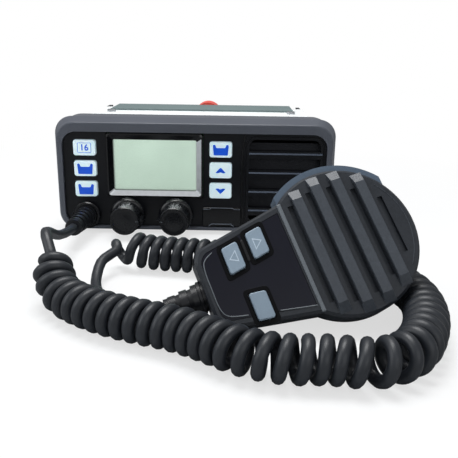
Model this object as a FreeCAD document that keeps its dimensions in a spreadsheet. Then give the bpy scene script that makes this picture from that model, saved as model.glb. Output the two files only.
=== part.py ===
"""Fixed-mount VHF marine radio with a fist microphone on a curly cord.

Frame: X to the right, Y to the back, Z up, in millimetres. The origin is the centre of the
chassis' bottom face, on the table. The front panel faces -Y. The microphone's pieces are drawn
in a frame of their own (x towards the head, y towards the talk lever, z out of the face) and
share one placement.
"""
import FreeCAD, Part
import math
import os

import Sketcher
from FreeCAD import Matrix, Placement, Rotation, Vector

os.makedirs("parts", exist_ok=True)
doc = FreeCAD.newDocument("vhf_marine_radio")

SIZES = {
    # radio, outside
    "panel_width": 156.5,
    "panel_height": 65.0,
    "overall_depth": 110.0,
    "panel_corner": 13.0,
    "frame_depth": 12.0,
    "bevel_depth": 8.0,
    "bevel_inset": 2.5,
    "rim_side": 2.8,
    "rim_top": 5.0,
    "rim_bottom": 1.6,
    "recess_corner": 8.0,
    "face_recess": 2.0,
    "plate_thick": 2.4,
    "gasket_thick": 1.6,
    "gasket_inset": 0.8,
    "fit_gap": 0.2,
    # display
    "glass_x": -22.0,
    "glass_z": 39.0,
    "glass_width": 46.2,
    "glass_height": 28.6,
    "bezel_rim": 3.6,
    "bezel_proud": 1.6,
    "bezel_corner": 2.4,
    "glass_thick": 1.2,
    "cell_thick": 2.0,
    "diffuser_thick": 3.0,
    # panel keys
    "key_left_x": -60.7,
    "key_right_x": 14.5,
    "key_top_z": 48.5,
    "key_pitch": 11.6,
    "key_width": 12.3,
    "key_height": 8.6,
    "key_corner": 1.4,
    "key_proud": 1.2,
    "key_travel": 0.8,
    "key_gap": 0.35,
    "mat_thick": 5.0,
    "board_gap": 5.4,
    # knobs
    "knob_left_x": -37.4,
    "knob_right_x": -10.3,
    "knob_z": 11.2,
    "knob_dia": 16.6,
    "knob_length": 14.0,
    "knob_taper": 0.5,
    "knob_scallops": 18,
    "scallop_dia": 1.6,
    "tab_reach": 1.5,
    "tab_width": 4.2,
    "collar_dia": 13.4,
    "collar_proud": 2.0,
    "shaft_dia": 6.0,
    "shaft_gap": 0.05,
    "pot_size": 12.0,
    "pot_depth": 3.0,
    # label plate and speaker
    "label_x": 15.3,
    "label_z": 10.0,
    "label_width": 21.6,
    "label_height": 11.2,
    "label_thick": 1.0,
    "grille_left": 28.4,
    "grille_right": 72.0,
    "grille_corner": 6.0,
    "grille_edge": 0.6,
    "grille_rim": 1.6,
    "slat_pitch": 10.8,
    "slat_height": 4.4,
    "slat_depth": 4.0,
    "slat_count": 4,
    "mesh_thick": 0.6,
    "speaker_dia": 40.0,
    "magnet_dia": 22.0,
    "magnet_depth": 9.0,
    # chassis
    "chassis_width": 140.0,
    "chassis_height": 59.0,
    "wall": 2.5,
    "fin_count": 13,
    "fin_depth": 10.0,
    "fin_thick": 2.4,
    "top_thick": 2.0,
    "rear_plate_width": 120.5,
    "rear_plate_depth": 33.0,
    "rear_plate_thick": 1.0,
    "bracket_hole_radius": 2.1,
    "bracket_boss_radius": 6.0,
    "bracket_boss_depth": 5.0,
    "bracket_z": 30.0,
    "bracket_y": 8.0,
    # rear connectors
    "socket_x": 2.5,
    "socket_z": 54.0,
    "socket_dia": 15.6,
    "socket_length": 11.0,
    "cap_wall": 1.4,
    "cap_length": 16.0,
    "gland_x": -44.0,
    "gland_z": 30.0,
    "gland_dia": 13.0,
    "gland_length": 12.0,
    "jack_x": 44.0,
    "jack_dia": 9.0,
    "jack_length": 5.0,
    # boards
    "board_thick": 1.6,
    "board_screw_dia": 3.0,
    "can_height": 9.0,
    # cord
    "wire_dia": 4.7,
    "coil_dia": 17.1,
    "coil_pitch": 5.3,
    "coil_lift": 0.1,
    "coil_gap": 0.5,
    "lead_in": 9.0,
    "lead_in_pitch": 5.0,
    "boot_dia": 12.0,
    "boot_end_dia": 8.6,
    "boot_length": 31.0,
    "boot_ribs": 6,
    "boot_x": -60.8,
    "boot_z": 10.3,
    "nut_dia": 12.0,
    "boot_seat": 0.4,
    "nut_proud": 1.6,
    # microphone
    "head_radius": 29.6,
    "neck_reach": 19.3,
    "tail_reach": 57.5,
    "tail_half": 15.2,
    "tail_corner": 6.5,
    "shell_depth": 10.0,
    "back_depth": 14.0,
    "back_taper": 30.0,
    "shell_wall": 2.0,
    "seam_gap": 0.15,
    "rib_first": -12.0,
    "rib_pitch": 8.8,
    "rib_width": 3.4,
    "rib_height": 2.4,
    "rib_count": 4,
    "groove_width": 2.2,
    "groove_depth": 1.4,
    "panel_recess": 0.7,
    "mic_key_width": 6.5,
    "mic_key_height": 10.6,
    "mic_key_proud": 1.3,
    "mic_key_corner": 1.0,
    "mic_key_travel": 0.6,
    "mic_boot_dia": 12.0,
    "mic_boot_end_dia": 8.0,
    "mic_boot_length": 14.0,
    "mic_boot_ribs": 3,
    "lever_length": 44.0,
    "lever_proud": 2.6,
    "lever_swing": 1.0,
    "stud_dia": 11.0,
    "stud_neck_dia": 6.0,
    "stud_length": 5.0,
    "capsule_dia": 9.7,
}

# The microphone leans back on the table: turn about Z, lean, turn in its own plane.
MIC_TURN = 6.64
MIC_LEAN = 35.6
MIC_ROLL = 18.64
MIC_CENTRE = Vector(65.1, -167.0, 0.0)

# Centre line of the coiled part, over the table, from the radio's end to the microphone's end.
COIL_ROUTE = [
    (-54.5, -147.5, 11.5), (-50.5, -158.0, 3.5), (-45.5, -166.0, 0.0), (-37.5, -174.0, 0.0),
    (-26.5, -182.0, 0.0), (-12.0, -189.0, 0.0), (2.0, -194.0, 0.0), (14.0, -201.5, 0.0), (26.0, -211.0, 0.0),
    (40.0, -215.5, 0.0), (54.0, -214.5, 0.0), (67.8, -217.5, 0.0), (80.8, -211.0, 0.0),
    (89.3, -197.0, 0.0), (95.2, -180.0, 0.0), (97.2, -162.0, 0.0), (92.6, -145.5, 0.0),
    (79.3, -133.6, 0.0), (58.0, -126.8, 0.0), (32.0, -121.5, 0.0), (4.0, -116.5, 0.0),
    (-20.0, -112.5, 0.0), (-30.5, -111.0, 3.0), (-33.5, -119.0, 2.0),
]

# Plain stretches, between the two ends that each is given.
RADIO_LEAD = [(-61.0, -112.0, 16.0), (-59.8, -125.0, 21.0)]
MIC_LEAD = [(-38.5, -136.0, 5.0), (-37.0, -145.0, 2.6), (-31.5, -155.0, 2.6),
            (-23.0, -164.5, 2.6), (-14.5, -171.0, 2.7)]

sheet = doc.addObject("Spreadsheet::Sheet", "sizes")
for row, (alias, number) in enumerate(SIZES.items(), start=1):
    sheet.set(f"A{row}", alias)
    sheet.set(f"B{row}", str(number))
    sheet.setAlias(f"B{row}", alias)
doc.recompute()

ALONG_Y = Rotation(Vector(1, 0, 0), -90)
ALONG_X = Rotation(Vector(0, 1, 0), 90)
nodes = {}


def number(text):
    """Return the value of an expression on the sheet's cells."""
    return float(sheet.evalExpression(named(text)))


def named(text):
    """Write each alias in an expression as a cell of the sheet."""
    words = ""
    word = ""
    for letter in str(text) + " ":
        if letter.isalnum() or letter in "_.":
            word += letter
            continue
        words += "sizes." + word if word in SIZES else word
        words += letter
        word = ""
    return words.strip()


def bind(thing, prop, text):
    """Drive a property from the sheet."""
    thing.setExpression(prop, named(text))


def solid(kind, name, at=("0", "0", "0"), turn=None, **sizes):
    """Make a Part primitive whose sizes and place come from the sheet."""
    thing = doc.addObject("Part::" + kind, name)
    for prop, text in sizes.items():
        bind(thing, prop, text)
    if turn is not None:
        thing.Placement = Placement(Vector(), turn)
    for axis, text in zip("xyz", at):
        bind(thing, "Placement.Base." + axis, text)
    return thing


def box(name, length, width, height, x, y, z):
    """A block by its three sizes, and the places of its X middle, Y start and Z start."""
    return solid("Box", name, (f"({x}) - ({length}) / 2", y, z), Length=length, Width=width,
                 Height=height)


def rod(name, dia, length, x, y, z, turn=ALONG_Y):
    """A cylinder that starts at a point and runs along +Y, or as turned."""
    return solid("Cylinder", name, (x, y, z), turn, Radius=f"({dia}) / 2", Height=length)


def cut(name, base, *tools):
    """Take one or more shapes away from another."""
    thing = doc.addObject("Part::Cut", name)
    thing.Base = base
    thing.Tool = tools[0] if len(tools) == 1 else fuse(name + "_tools", *tools)
    return thing


def fuse(name, *shapes):
    """Join shapes that touch or overlap."""
    thing = doc.addObject("Part::MultiFuse", name)
    thing.Shapes = list(shapes)
    return thing


def overlap(name, one, other):
    """Keep what two shapes share."""
    thing = doc.addObject("Part::Common", name)
    thing.Base, thing.Tool = one, other
    return thing


def gather(name, *shapes):
    """Hold separate solids in one node."""
    thing = doc.addObject("Part::Compound", name)
    thing.Links = list(shapes)
    return thing


def keep(thing, name, place=None):
    """Name a finished sub-part, and place it when it belongs to the microphone."""
    thing.Label = name
    if place is not None:
        thing.Placement = place
    nodes[name] = thing
    return thing


def new_sketch(body, name, plane, depth):
    """Start a sketch that looks at the piece's front from a plane at a given depth."""
    sketch = body.newObject("Sketcher::SketchObject", name)
    base = [item for item in body.Origin.OriginFeatures if item.Role == plane][0]
    sketch.AttachmentSupport = [(base, "")]
    sketch.MapMode = "FlatFace"
    bind(sketch, "AttachmentOffset.Base.z", depth)
    return sketch


def lock(sketch, line, end, axis, text, tag):
    """Hold one coordinate of a point at an expression's value."""
    value = number(text)
    kind = "Distance" + axis
    if value >= 0:
        rule = Sketcher.Constraint(kind, -1, 1, line, end, value)
    else:
        rule = Sketcher.Constraint(kind, line, end, -1, 1, -value)
        text = f"-({text})"
    index = sketch.addConstraint(rule)
    sketch.renameConstraint(index, tag)
    bind(sketch, "Constraints." + tag, text)


def rectangle(sketch, left, right, low, high, tag=""):
    """Draw a rectangle whose four sides come from the sheet."""
    x0, x1, y0, y1 = number(left), number(right), number(low), number(high)
    corners = [Vector(x0, y0), Vector(x1, y0), Vector(x1, y1), Vector(x0, y1)]
    first = sketch.GeometryCount
    for index in range(4):
        sketch.addGeometry(Part.LineSegment(corners[index], corners[(index + 1) % 4]))
    for index in range(4):
        sketch.addConstraint(Sketcher.Constraint(
            "Coincident", first + index, 2, first + (index + 1) % 4, 1))
    for index in (0, 2):
        sketch.addConstraint(Sketcher.Constraint("Horizontal", first + index))
        sketch.addConstraint(Sketcher.Constraint("Vertical", first + index + 1))
    lock(sketch, first, 1, "X", left, "left" + tag)
    lock(sketch, first, 1, "Y", low, "low" + tag)
    lock(sketch, first + 2, 1, "X", right, "right" + tag)
    lock(sketch, first + 2, 1, "Y", high, "high" + tag)


def around(middle, size):
    """Return the two ends of a length about its middle."""
    return f"({middle}) - ({size}) / 2", f"({middle}) + ({size}) / 2"


def pad(body, sketch, name, length, forward=False, taper=None):
    """Give a sketch thickness, backwards from its plane unless told otherwise."""
    feature = body.newObject("PartDesign::Pad", name)
    feature.Profile = sketch
    feature.Reversed = not forward
    bind(feature, "Length", length)
    if taper is not None:
        bind(feature, "TaperAngle", taper)
    doc.recompute()
    return feature


def pocket(body, sketch, name, length, forward=False):
    """Sink a sketch into the piece, backwards from its plane unless told otherwise."""
    before = body.Shape.Volume
    feature = body.newObject("PartDesign::Pocket", name)
    feature.Profile = sketch
    feature.Reversed = forward
    bind(feature, "Length", length)
    doc.recompute()
    if body.Shape.Volume > before - 0.01:
        raise RuntimeError(name + " removes nothing")
    return feature


def dress(body, kind, name, size, wanted):
    """Fillet or chamfer the edges of a body's last feature that a test accepts."""
    base = body.Tip
    picked = [f"Edge{index}" for index, edge in enumerate(base.Shape.Edges, start=1)
              if wanted(edge)]
    if not picked:
        raise RuntimeError(name + " finds no edge")
    feature = body.newObject("PartDesign::" + kind, name)
    feature.Base = (base, picked)
    bind(feature, "Radius" if kind == "Fillet" else "Size", size)
    doc.recompute()
    return feature


def is_line_along(edge, axis, near=None):
    """Tell whether an edge is a straight one along an axis."""
    if not isinstance(edge.Curve, Part.Line):
        return False
    direction = edge.tangentAt(edge.FirstParameter)
    if abs(abs(direction.dot(axis)) - 1) > 0.001:
        return False
    return near is None or near(edge.CenterOfMass)


def lies_at(edge, axis, place):
    """Tell whether the whole edge lies in a plane across an axis."""
    box_ = edge.BoundBox
    low, high = ((box_.XMin, box_.XMax), (box_.YMin, box_.YMax), (box_.ZMin, box_.ZMax))[axis]
    return abs(low - place) < 0.01 and abs(high - place) < 0.01


AXIS_Y = Vector(0, 1, 0)
AXIS_Z = Vector(0, 0, 1)
FRONT = "-overall_depth / 2"
FACE = FRONT + " + face_recess"
FRAME_BACK = FRONT + " + bevel_depth + frame_depth"
BODY_FRONT = FRAME_BACK + " + gasket_thick"
REAR = "overall_depth / 2"
MIDDLE_Z = "panel_height / 2"
RECESS_LEFT = "-panel_width / 2 + bevel_inset + rim_side"
RECESS_RIGHT = "panel_width / 2 - bevel_inset - rim_side"
RECESS_LOW = "bevel_inset + rim_bottom"
RECESS_HIGH = "panel_height - bevel_inset - rim_top"
FACE_BACK = FACE + " + plate_thick"
GRILLE_LOW = RECESS_LOW + " + 1.35"
BOARD_FRONT = FACE_BACK + " + board_gap"


def plate(name, left, right, low, high, corner, front, thick, taper=None):
    """A flat piece with round corners that faces the front."""
    body = doc.addObject("PartDesign::Body", name)
    sketch = new_sketch(body, name + "_outline", "XZ_Plane", f"-({front})")
    rectangle(sketch, left, right, low, high)
    pad(body, sketch, name + "_pad", thick, taper=taper)
    if corner is not None:
        dress(body, "Fillet", name + "_corners", corner,
              lambda edge: is_line_along(edge, AXIS_Y))
    return body


def window(body, name, left, right, low, high, front, depth, corner=None):
    """A rectangular pocket from the front of a plate."""
    sketch = new_sketch(body, name, "XZ_Plane", f"-({front})")
    rectangle(sketch, left, right, low, high)
    pocket(body, sketch, name + "_pocket", depth)
    if corner is not None:
        x0, x1, z0, z1 = number(left), number(right), number(low), number(high)
        dress(body, "Fillet", name + "_corners", corner, lambda edge: is_line_along(
            edge, AXIS_Y, lambda point: min(abs(point.x - x0), abs(point.x - x1)) < 0.01
            and min(abs(point.z - z0), abs(point.z - z1)) < 0.01))


def bore(body, name, dia, x, z, front, depth):
    """A round pocket from the front of a plate."""
    sketch = new_sketch(body, name, "XZ_Plane", f"-({front})")
    sketch.addGeometry(Part.Circle(Vector(number(x), number(z)), AXIS_Z, number(dia) / 2))
    lock(sketch, 0, 3, "X", x, "across")
    lock(sketch, 0, 3, "Y", z, "up")
    index = sketch.addConstraint(Sketcher.Constraint("Radius", 0, number(dia) / 2))
    sketch.renameConstraint(index, "radius")
    bind(sketch, "Constraints.radius", f"({dia}) / 2")
    pocket(body, sketch, name + "_pocket", depth)


def key_places():
    """Name each panel key, with the places of its middle."""
    for side, names in (("left", ("key_16", "key_channel", "key_power")),
                        ("right", ("key_scan", "key_up", "key_down"))):
        for row_, name in enumerate(names):
            yield name, side, f"key_{side}_x", f"key_top_z - {row_} * key_pitch"


def front_frame():
    """Moulded frame: a straight ring at the back and a sloped one in front of it."""
    bevel_back = FRONT + " + bevel_depth"
    ring = plate("frame_ring", "-panel_width / 2", "panel_width / 2", "0", "panel_height",
                 "panel_corner", bevel_back, "frame_depth")
    slope = doc.addObject("PartDesign::Body", "frame_slope")
    sketch = new_sketch(slope, "slope_outline", "XZ_Plane", f"-({bevel_back})")
    rectangle(sketch, "-panel_width / 2", "panel_width / 2", "0", "panel_height")
    pad(slope, sketch, "slope_pad", "bevel_depth", forward=True,
        taper="-atan(bevel_inset / bevel_depth)")
    front_y = number(FRONT)
    dress(slope, "Fillet", "slope_corners", "panel_corner - bevel_inset",
          lambda edge: abs(edge.tangentAt(edge.FirstParameter).y) > 0.5)
    dress(slope, "Fillet", "slope_edge", "0.9", lambda edge: lies_at(edge, 1, front_y))
    opening = plate("frame_opening", RECESS_LEFT, RECESS_RIGHT, RECESS_LOW, RECESS_HIGH,
                    "recess_corner", FRONT + " - 1", "bevel_depth + frame_depth + 2")
    keep(cut("frame", fuse("frame_solid", ring, slope), opening), "front_frame")


def face_plate():
    """Black plate in the frame, with holes for all that comes through it."""
    gap = "fit_gap"
    body = plate("face", RECESS_LEFT + " + " + gap, RECESS_RIGHT + " - " + gap,
                 RECESS_LOW + " + " + gap, RECESS_HIGH + " - " + gap,
                 "recess_corner - fit_gap", FACE, "plate_thick")
    deep = "plate_thick + 1"
    bezel_w = "glass_width + 2 * bezel_rim + 2 * fit_gap"
    bezel_h = "glass_height + 2 * bezel_rim + 2 * fit_gap"
    window(body, "bezel_window", *around("glass_x", bezel_w), *around("glass_z", bezel_h),
           FACE, deep)
    grille_top = RECESS_HIGH + " - 1.5"
    mouth = plate("grille_mouth", "grille_left", "grille_right - grille_edge", GRILLE_LOW,
                  grille_top, "grille_corner", FACE, deep)
    for name, _, x, z in key_places():
        window(body, name + "_hole", *around(x, "key_width + 2 * key_gap"),
               *around(z, "key_height + 2 * key_gap"), FACE, deep, "key_corner")
    for side in ("left", "right"):
        bore(body, f"knob_{side}_hole", "shaft_dia + 1", f"knob_{side}_x", "knob_z", FACE, deep)
    bore(body, "boot_hole", "boot_dia - 3", "boot_x", "boot_z", FACE, deep)
    collars = [rod(f"collar_{side}", "collar_dia", "collar_proud", f"knob_{side}_x",
                   FACE + " - collar_proud", "knob_z") for side in ("left", "right")]
    holes = [rod(f"collar_{side}_hole", "shaft_dia + 1", "collar_proud + 1",
                 f"knob_{side}_x", FACE + " - collar_proud - 0.5", "knob_z")
             for side in ("left", "right")]
    keep(cut("face_done", fuse("face_solid", body, *collars), mouth, *holes), "face_plate")


def speaker_grille():
    """Louvred insert: a rim with sloped slats across it."""
    left, right = "grille_left + fit_gap", "grille_right - grille_edge - fit_gap"
    low = GRILLE_LOW + " + fit_gap"
    high = RECESS_HIGH + " - 1.5 - fit_gap"
    rim = "grille_rim"
    solid_rim = plate("grille_rim_outer", left, right, low, high, "grille_corner - fit_gap",
                      FACE, "slat_depth")
    gap = plate("grille_gap", f"{left} + {rim}", f"{right} - {rim}", f"{low} + {rim}",
                f"{high} - {rim}", "grille_corner - fit_gap - grille_rim", FACE + " - 1",
                "slat_depth + 2")
    slats = []
    for row_ in range(int(number("slat_count"))):
        z = f"{high} - {rim} - slat_pitch * ({row_} + 1) + 0.2"
        slats.append(box(f"slat_{row_}", f"({right}) - ({left}) - {rim}", "slat_depth",
                         "slat_height", f"(({left}) + ({right})) / 2", FACE, z))
    limit = plate("grille_limit", "0", RECESS_RIGHT + " - fit_gap", RECESS_LOW + " + fit_gap",
                  RECESS_HIGH + " - fit_gap", "recess_corner - fit_gap", FACE, "slat_depth")
    frame = cut("grille_frame", solid_rim, gap)
    keep(overlap("grille", fuse("grille_solid", frame, *slats), limit), "speaker_grille")


def speaker():
    """Loudspeaker behind the louvres: mesh, basket and cone."""
    x = "(grille_left + grille_right) / 2"
    z = MIDDLE_Z + " - 1.5"
    behind = FACE + " + slat_depth"
    keep(box("mesh_sheet", "speaker_dia", "mesh_thick", "speaker_dia + 2",
             x, behind, f"{z} - speaker_dia / 2 - 1"), "speaker_mesh")
    seat = f"{behind} + mesh_thick"
    ring = rod("basket_ring", "speaker_dia", "4", x, seat, z)
    ring_hole = rod("basket_hole", "speaker_dia - 6", "3", x, f"{seat} - 0.5", z)
    magnet = rod("magnet", "magnet_dia", "magnet_depth", x, f"{seat} + 3.5", z)
    keep(cut("basket", fuse("basket_solid", ring, magnet), ring_hole), "speaker_frame")
    cone = solid("Cone", "cone_outer", (x, seat, z), ALONG_Y, Radius1="speaker_dia / 2 - 3",
                 Radius2="6", Height="2.5")
    hollow = solid("Cone", "cone_inner", (x, f"{seat} - 0.4", z), ALONG_Y,
                   Radius1="speaker_dia / 2 - 3.4", Radius2="5", Height="2.3")
    keep(cut("cone", cone, hollow), "speaker_cone")


def display():
    """Bezel, window, liquid crystal cell and light diffuser."""
    wide, tall = around("glass_x", "glass_width"), around("glass_z", "glass_height")
    bezel_w = around("glass_x", "glass_width + 2 * bezel_rim")
    bezel_h = around("glass_z", "glass_height + 2 * bezel_rim")
    proud = FACE + " - bezel_proud"
    body = plate("bezel", *bezel_w, *bezel_h, "bezel_corner", proud, "bezel_proud + plate_thick")
    window(body, "bezel_opening", *wide, *tall, proud, "bezel_proud + plate_thick + 1", "1")
    front_y = number(proud)
    dress(body, "Chamfer", "bezel_slope", "bezel_rim / 3", lambda edge: lies_at(edge, 1, front_y))
    keep(body, "lcd_bezel")
    glass = plate("glass", *around("glass_x", "glass_width - 2 * fit_gap"),
                  *around("glass_z", "glass_height - 2 * fit_gap"), "0.8",
                  FACE + " + 0.6", "glass_thick")
    keep(glass, "lcd_window")
    cell_y = FACE + " + 0.6 + glass_thick"
    keep(box("cell", "glass_width + 3", "cell_thick", "glass_height + 3", "glass_x",
             FACE_BACK, "glass_z - (glass_height + 3) / 2"), "lcd_panel")
    spacer = box("cell_front", "glass_width - 1", f"({FACE_BACK}) - ({cell_y})",
                 "glass_height - 1", "glass_x", cell_y, "glass_z - (glass_height - 1) / 2")
    keep(spacer, "lcd_polariser")
    keep(box("diffuser", "glass_width + 3", "diffuser_thick", "glass_height + 3", "glass_x",
             FACE_BACK + " + cell_thick", "glass_z - (glass_height + 3) / 2"),
         "backlight_diffuser")


def panel_keys():
    """Six keys on two rubber mats."""
    for name, _, x, z in key_places():
        key = plate(name + "_body", *around(x, "key_width"), *around(z, "key_height"),
                    "key_corner", FACE + " - key_proud", "key_proud + plate_thick - key_travel")
        front_y = number(FACE + " - key_proud")
        dress(key, "Fillet", name + "_edge", "0.5", lambda edge: lies_at(edge, 1, front_y))
        keep(key, name)
    for side in ("left", "right"):
        mat = box(f"mat_{side}", "key_width + 3", "mat_thick", "2 * key_pitch + key_height + 4",
                  f"key_{side}_x", FACE_BACK + " + 0.2",
                  "key_top_z - 2 * key_pitch - key_height / 2 - 2")
        keep(mat, f"keypad_mat_{side}")


def knobs():
    """Two scalloped knobs with a pointed tab, on potentiometer shafts."""
    for side, word, way in (("left", "volume", 1), ("right", "squelch", -1)):
        x, z = f"knob_{side}_x", "knob_z"
        start = FACE + " - collar_proud - knob_length - 0.3"
        body = solid("Cone", word + "_drum", (x, start, z), ALONG_Y,
                     Radius1="knob_dia / 2 - knob_taper", Radius2="knob_dia / 2",
                     Height="knob_length")
        tab = doc.addObject("Part::Wedge", word + "_tab")
        for prop, text in (("Xmin", "0"), ("Xmax", "tab_width"), ("X2min", "tab_width / 2 - 0.3"),
                           ("X2max", "tab_width / 2 + 0.3"), ("Ymin", "0"),
                           ("Ymax", "knob_dia / 2 + tab_reach"), ("Zmin", "0"),
                           ("Zmax", "knob_length - 2"), ("Z2min", "0"),
                           ("Z2max", "knob_length - 2")):
            bind(tab, prop, text)
        matrix = Matrix(0, way, 0, 0, 0, 0, 1, 0, way, 0, 0, 0, 0, 0, 0, 1)
        turn = Placement(matrix).Rotation
        tab.Placement = Placement(Vector(), turn)
        bind(tab, "Placement.Base.x", x)
        bind(tab, "Placement.Base.y", start + " + 2")
        bind(tab, "Placement.Base.z", f"{z} - {way} * tab_width / 2")
        scallops = []
        count = int(number("knob_scallops"))
        for index in range(count):
            angle = f"(360 / knob_scallops * {index} + 180 / knob_scallops)"
            reach = "(knob_dia / 2 + scallop_dia / 5)"
            scallops.append(rod(f"{word}_scallop_{index}", "scallop_dia", "knob_length - 4",
                                f"{x} + {reach} * cos({angle})", start + " - 1",
                                f"{z} + {reach} * sin({angle})"))
        hole = rod(word + "_hole", "shaft_dia + 2 * shaft_gap", "10", x,
                   start + " + knob_length - 9", z)
        drum = cut(word + "_cut", body, *scallops, hole)
        tab_hole = rod(word + "_tab_hole", "knob_dia - 2", "knob_length + 4", x,
                       start + " - 1", z)
        keep(fuse(word + "_knob_solid", drum, cut(word + "_tab_end", tab, tab_hole)),
             word + "_knob")
        shaft_start = start + " + knob_length - 8.9"
        shaft = rod(word + "_shaft_rod", "shaft_dia",
                    f"({BOARD_FRONT}) - pot_depth - ({shaft_start})", x, shaft_start, z)
        keep(shaft, word + "_shaft")
        pot_front = f"({BOARD_FRONT}) - pot_depth"
        bushing = box(word + "_pot_box", "pot_size", "pot_depth", "pot_size", x, pot_front,
                      f"{z} - pot_size / 2")
        keep(bushing, word + "_pot")


def label_plate():
    """Bare plate with a stepped top edge and a tab below."""
    front = FACE + " - label_thick"
    body = plate("label", *around("label_x", "label_width"), *around("label_z", "label_height"),
                 "1.2", front, "label_thick")
    front_y = number(front)
    dress(body, "Chamfer", "label_edge", "0.35", lambda edge: lies_at(edge, 1, front_y))
    keep(body, "label_plate")


def front_board():
    """Circuit board behind the keys and the display."""
    board = box("front_board_sheet", "panel_width - 34 - 46", "board_thick",
                "panel_height - 14", "(-panel_width / 2 + 10 + grille_left - 4) / 2 + 3",
                BOARD_FRONT, "6")
    keep(board, "front_board")
    spacers = []
    for index, (x, z) in enumerate(((-49.8, 53), (-49.8, 20), (-24, 12), (3, 12))):
        spacers.append(rod(f"post_{index}", "board_screw_dia + 2",
                           f"({BOARD_FRONT}) - ({FACE_BACK})", str(x), FACE_BACK, str(z)))
    keep(gather("board_posts", *spacers), "board_posts")


def chassis():
    """Die-cast tub with cooling fins, closed by a top plate."""
    back = f"({REAR}) - fin_depth"
    length = f"({back}) - ({BODY_FRONT})"
    outer = box("chassis_outer", "chassis_width", length, "chassis_height", "0", BODY_FRONT, "0")
    inner = box("chassis_inner", "chassis_width - 2 * wall", f"{length} - 2 * wall + 20",
                "chassis_height", "0", f"{BODY_FRONT} - 20 + wall", "wall")
    fins = []
    for index in range(int(number("fin_count"))):
        x = f"(chassis_width - 8) * ({index} / (fin_count - 1) - 0.5)"
        fins.append(box(f"fin_{index}", "fin_thick", "fin_depth + wall / 2",
                        "chassis_height + top_thick - 2", x, f"({back}) - wall / 2", "2"))
    tray = box("connector_block", "100", "fin_depth", "chassis_height - 20", "0", back, "20")
    boss_l = rod("boss_left", "2 * bracket_boss_radius", "bracket_boss_depth + wall",
                 "-chassis_width / 2", "bracket_y", "bracket_z", ALONG_X)
    boss_r = rod("boss_right", "2 * bracket_boss_radius", "bracket_boss_depth + wall",
                 "chassis_width / 2 - bracket_boss_depth - wall", "bracket_y", "bracket_z",
                 ALONG_X)
    hole_l = rod("bracket_hole_left", "2 * bracket_hole_radius", "bracket_boss_depth + 1",
                 "-chassis_width / 2 - 1", "bracket_y", "bracket_z", ALONG_X)
    hole_r = rod("bracket_hole_right", "2 * bracket_hole_radius", "bracket_boss_depth + 1",
                 "chassis_width / 2 - bracket_boss_depth", "bracket_y", "bracket_z", ALONG_X)
    tub = cut("tub", outer, inner)
    keep(cut("chassis_done", fuse("chassis_solid", tub, *fins, tray, boss_l, boss_r),
             hole_l, hole_r), "chassis")
    keep(box("top_sheet", "chassis_width - 4", f"{length} - 2.5", "top_thick", "0",
             f"{BODY_FRONT} + 1", "chassis_height"), "top_cover")
    keep(box("rear_sheet", "rear_plate_width", "rear_plate_depth", "rear_plate_thick", "0",
             f"({REAR}) - rear_plate_depth", "chassis_height + top_thick"), "rear_plate")
    ring = plate("gasket_ring", "-panel_width / 2 + gasket_inset",
                 "panel_width / 2 - gasket_inset", "gasket_inset", "panel_height - gasket_inset",
                 "panel_corner", FRAME_BACK, "gasket_thick")
    window(ring, "gasket_window", "-chassis_width / 2 + 4", "chassis_width / 2 - 4", "5",
           "chassis_height - 3", FRAME_BACK, "gasket_thick + 1")
    keep(ring, "panel_gasket")
    heads = []
    for index, (x, y) in enumerate(((-58, -20), (58, -20), (-58, 14), (58, 14))):
        heads.append(rod(f"top_screw_{index}", "5.5", "1.4", str(x), str(y),
                         "chassis_height + top_thick", Rotation()))
    keep(gather("screws_top", *heads), "chassis_screws")


def electronics():
    """Main board, shield can and power module in the tub."""
    floor = "wall"
    board_z = f"{floor} + 6"
    back = f"({REAR}) - fin_depth - wall"
    keep(box("main_sheet", "chassis_width - 2 * wall - 16", "62", "board_thick", "0",
             f"{back} - 64", board_z), "main_board")
    posts = []
    for index, (x, y) in enumerate(((-54, -18), (54, -18), (-54, 34), (54, 34))):
        posts.append(rod(f"main_post_{index}", "5", board_z + " - wall", str(x), str(y), floor,
                         Rotation()))
    keep(gather("main_posts", *posts), "board_standoffs")
    heads = []
    for index, (x, y) in enumerate(((-54, -18), (54, -18), (-54, 34), (54, 34))):
        heads.append(rod(f"main_screw_{index}", "5", "1.8", str(x), str(y),
                         board_z + " + board_thick", Rotation()))
    keep(gather("main_screws", *heads), "board_screws")
    keep(box("can_box", "50", "34", "can_height", "-18", "-14", board_z + " + board_thick"),
         "shield_can")
    keep(box("module_box", "44", "14", "10", "26", f"{back} - 14", board_z + " + board_thick"),
         "power_module")


def rear_connectors():
    """Antenna socket with its dust cap, power gland and speaker jack."""
    shell = rod("socket_shell", "socket_dia", "socket_length", "socket_x", REAR, "socket_z")
    hollow = rod("socket_hollow", "socket_dia - 4", "socket_length", "socket_x",
                 f"({REAR}) + 2", "socket_z")
    pin = rod("socket_pin", "3", "4", "socket_x", REAR, "socket_z")
    keep(fuse("socket", cut("socket_cup", shell, hollow), pin), "antenna_socket")
    cap = rod("cap_outer", "socket_dia + 2 * cap_wall + 0.4", "cap_length", "socket_x",
              f"({REAR}) + 1", "socket_z")
    room = rod("cap_room", "socket_dia + 0.4", "cap_length - cap_wall", "socket_x",
               f"({REAR}) + 1 - 0.01", "socket_z")
    keep(cut("cap", cap, room), "antenna_cap")
    gland = rod("gland_rod", "gland_dia", "gland_length", "gland_x", REAR, "gland_z")
    gland_hole = rod("gland_bore", "gland_dia - 6", "gland_length", "gland_x",
                     f"({REAR}) + 1", "gland_z")
    keep(cut("gland", gland, gland_hole), "power_gland")
    jack = rod("jack_rod", "jack_dia", "jack_length", "jack_x - 4", REAR, "gland_z")
    jack_hole = rod("jack_bore", "3.6", "jack_length", "jack_x - 4", f"({REAR}) + 1", "gland_z")
    keep(cut("jack", jack, jack_hole), "speaker_jack")


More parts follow.
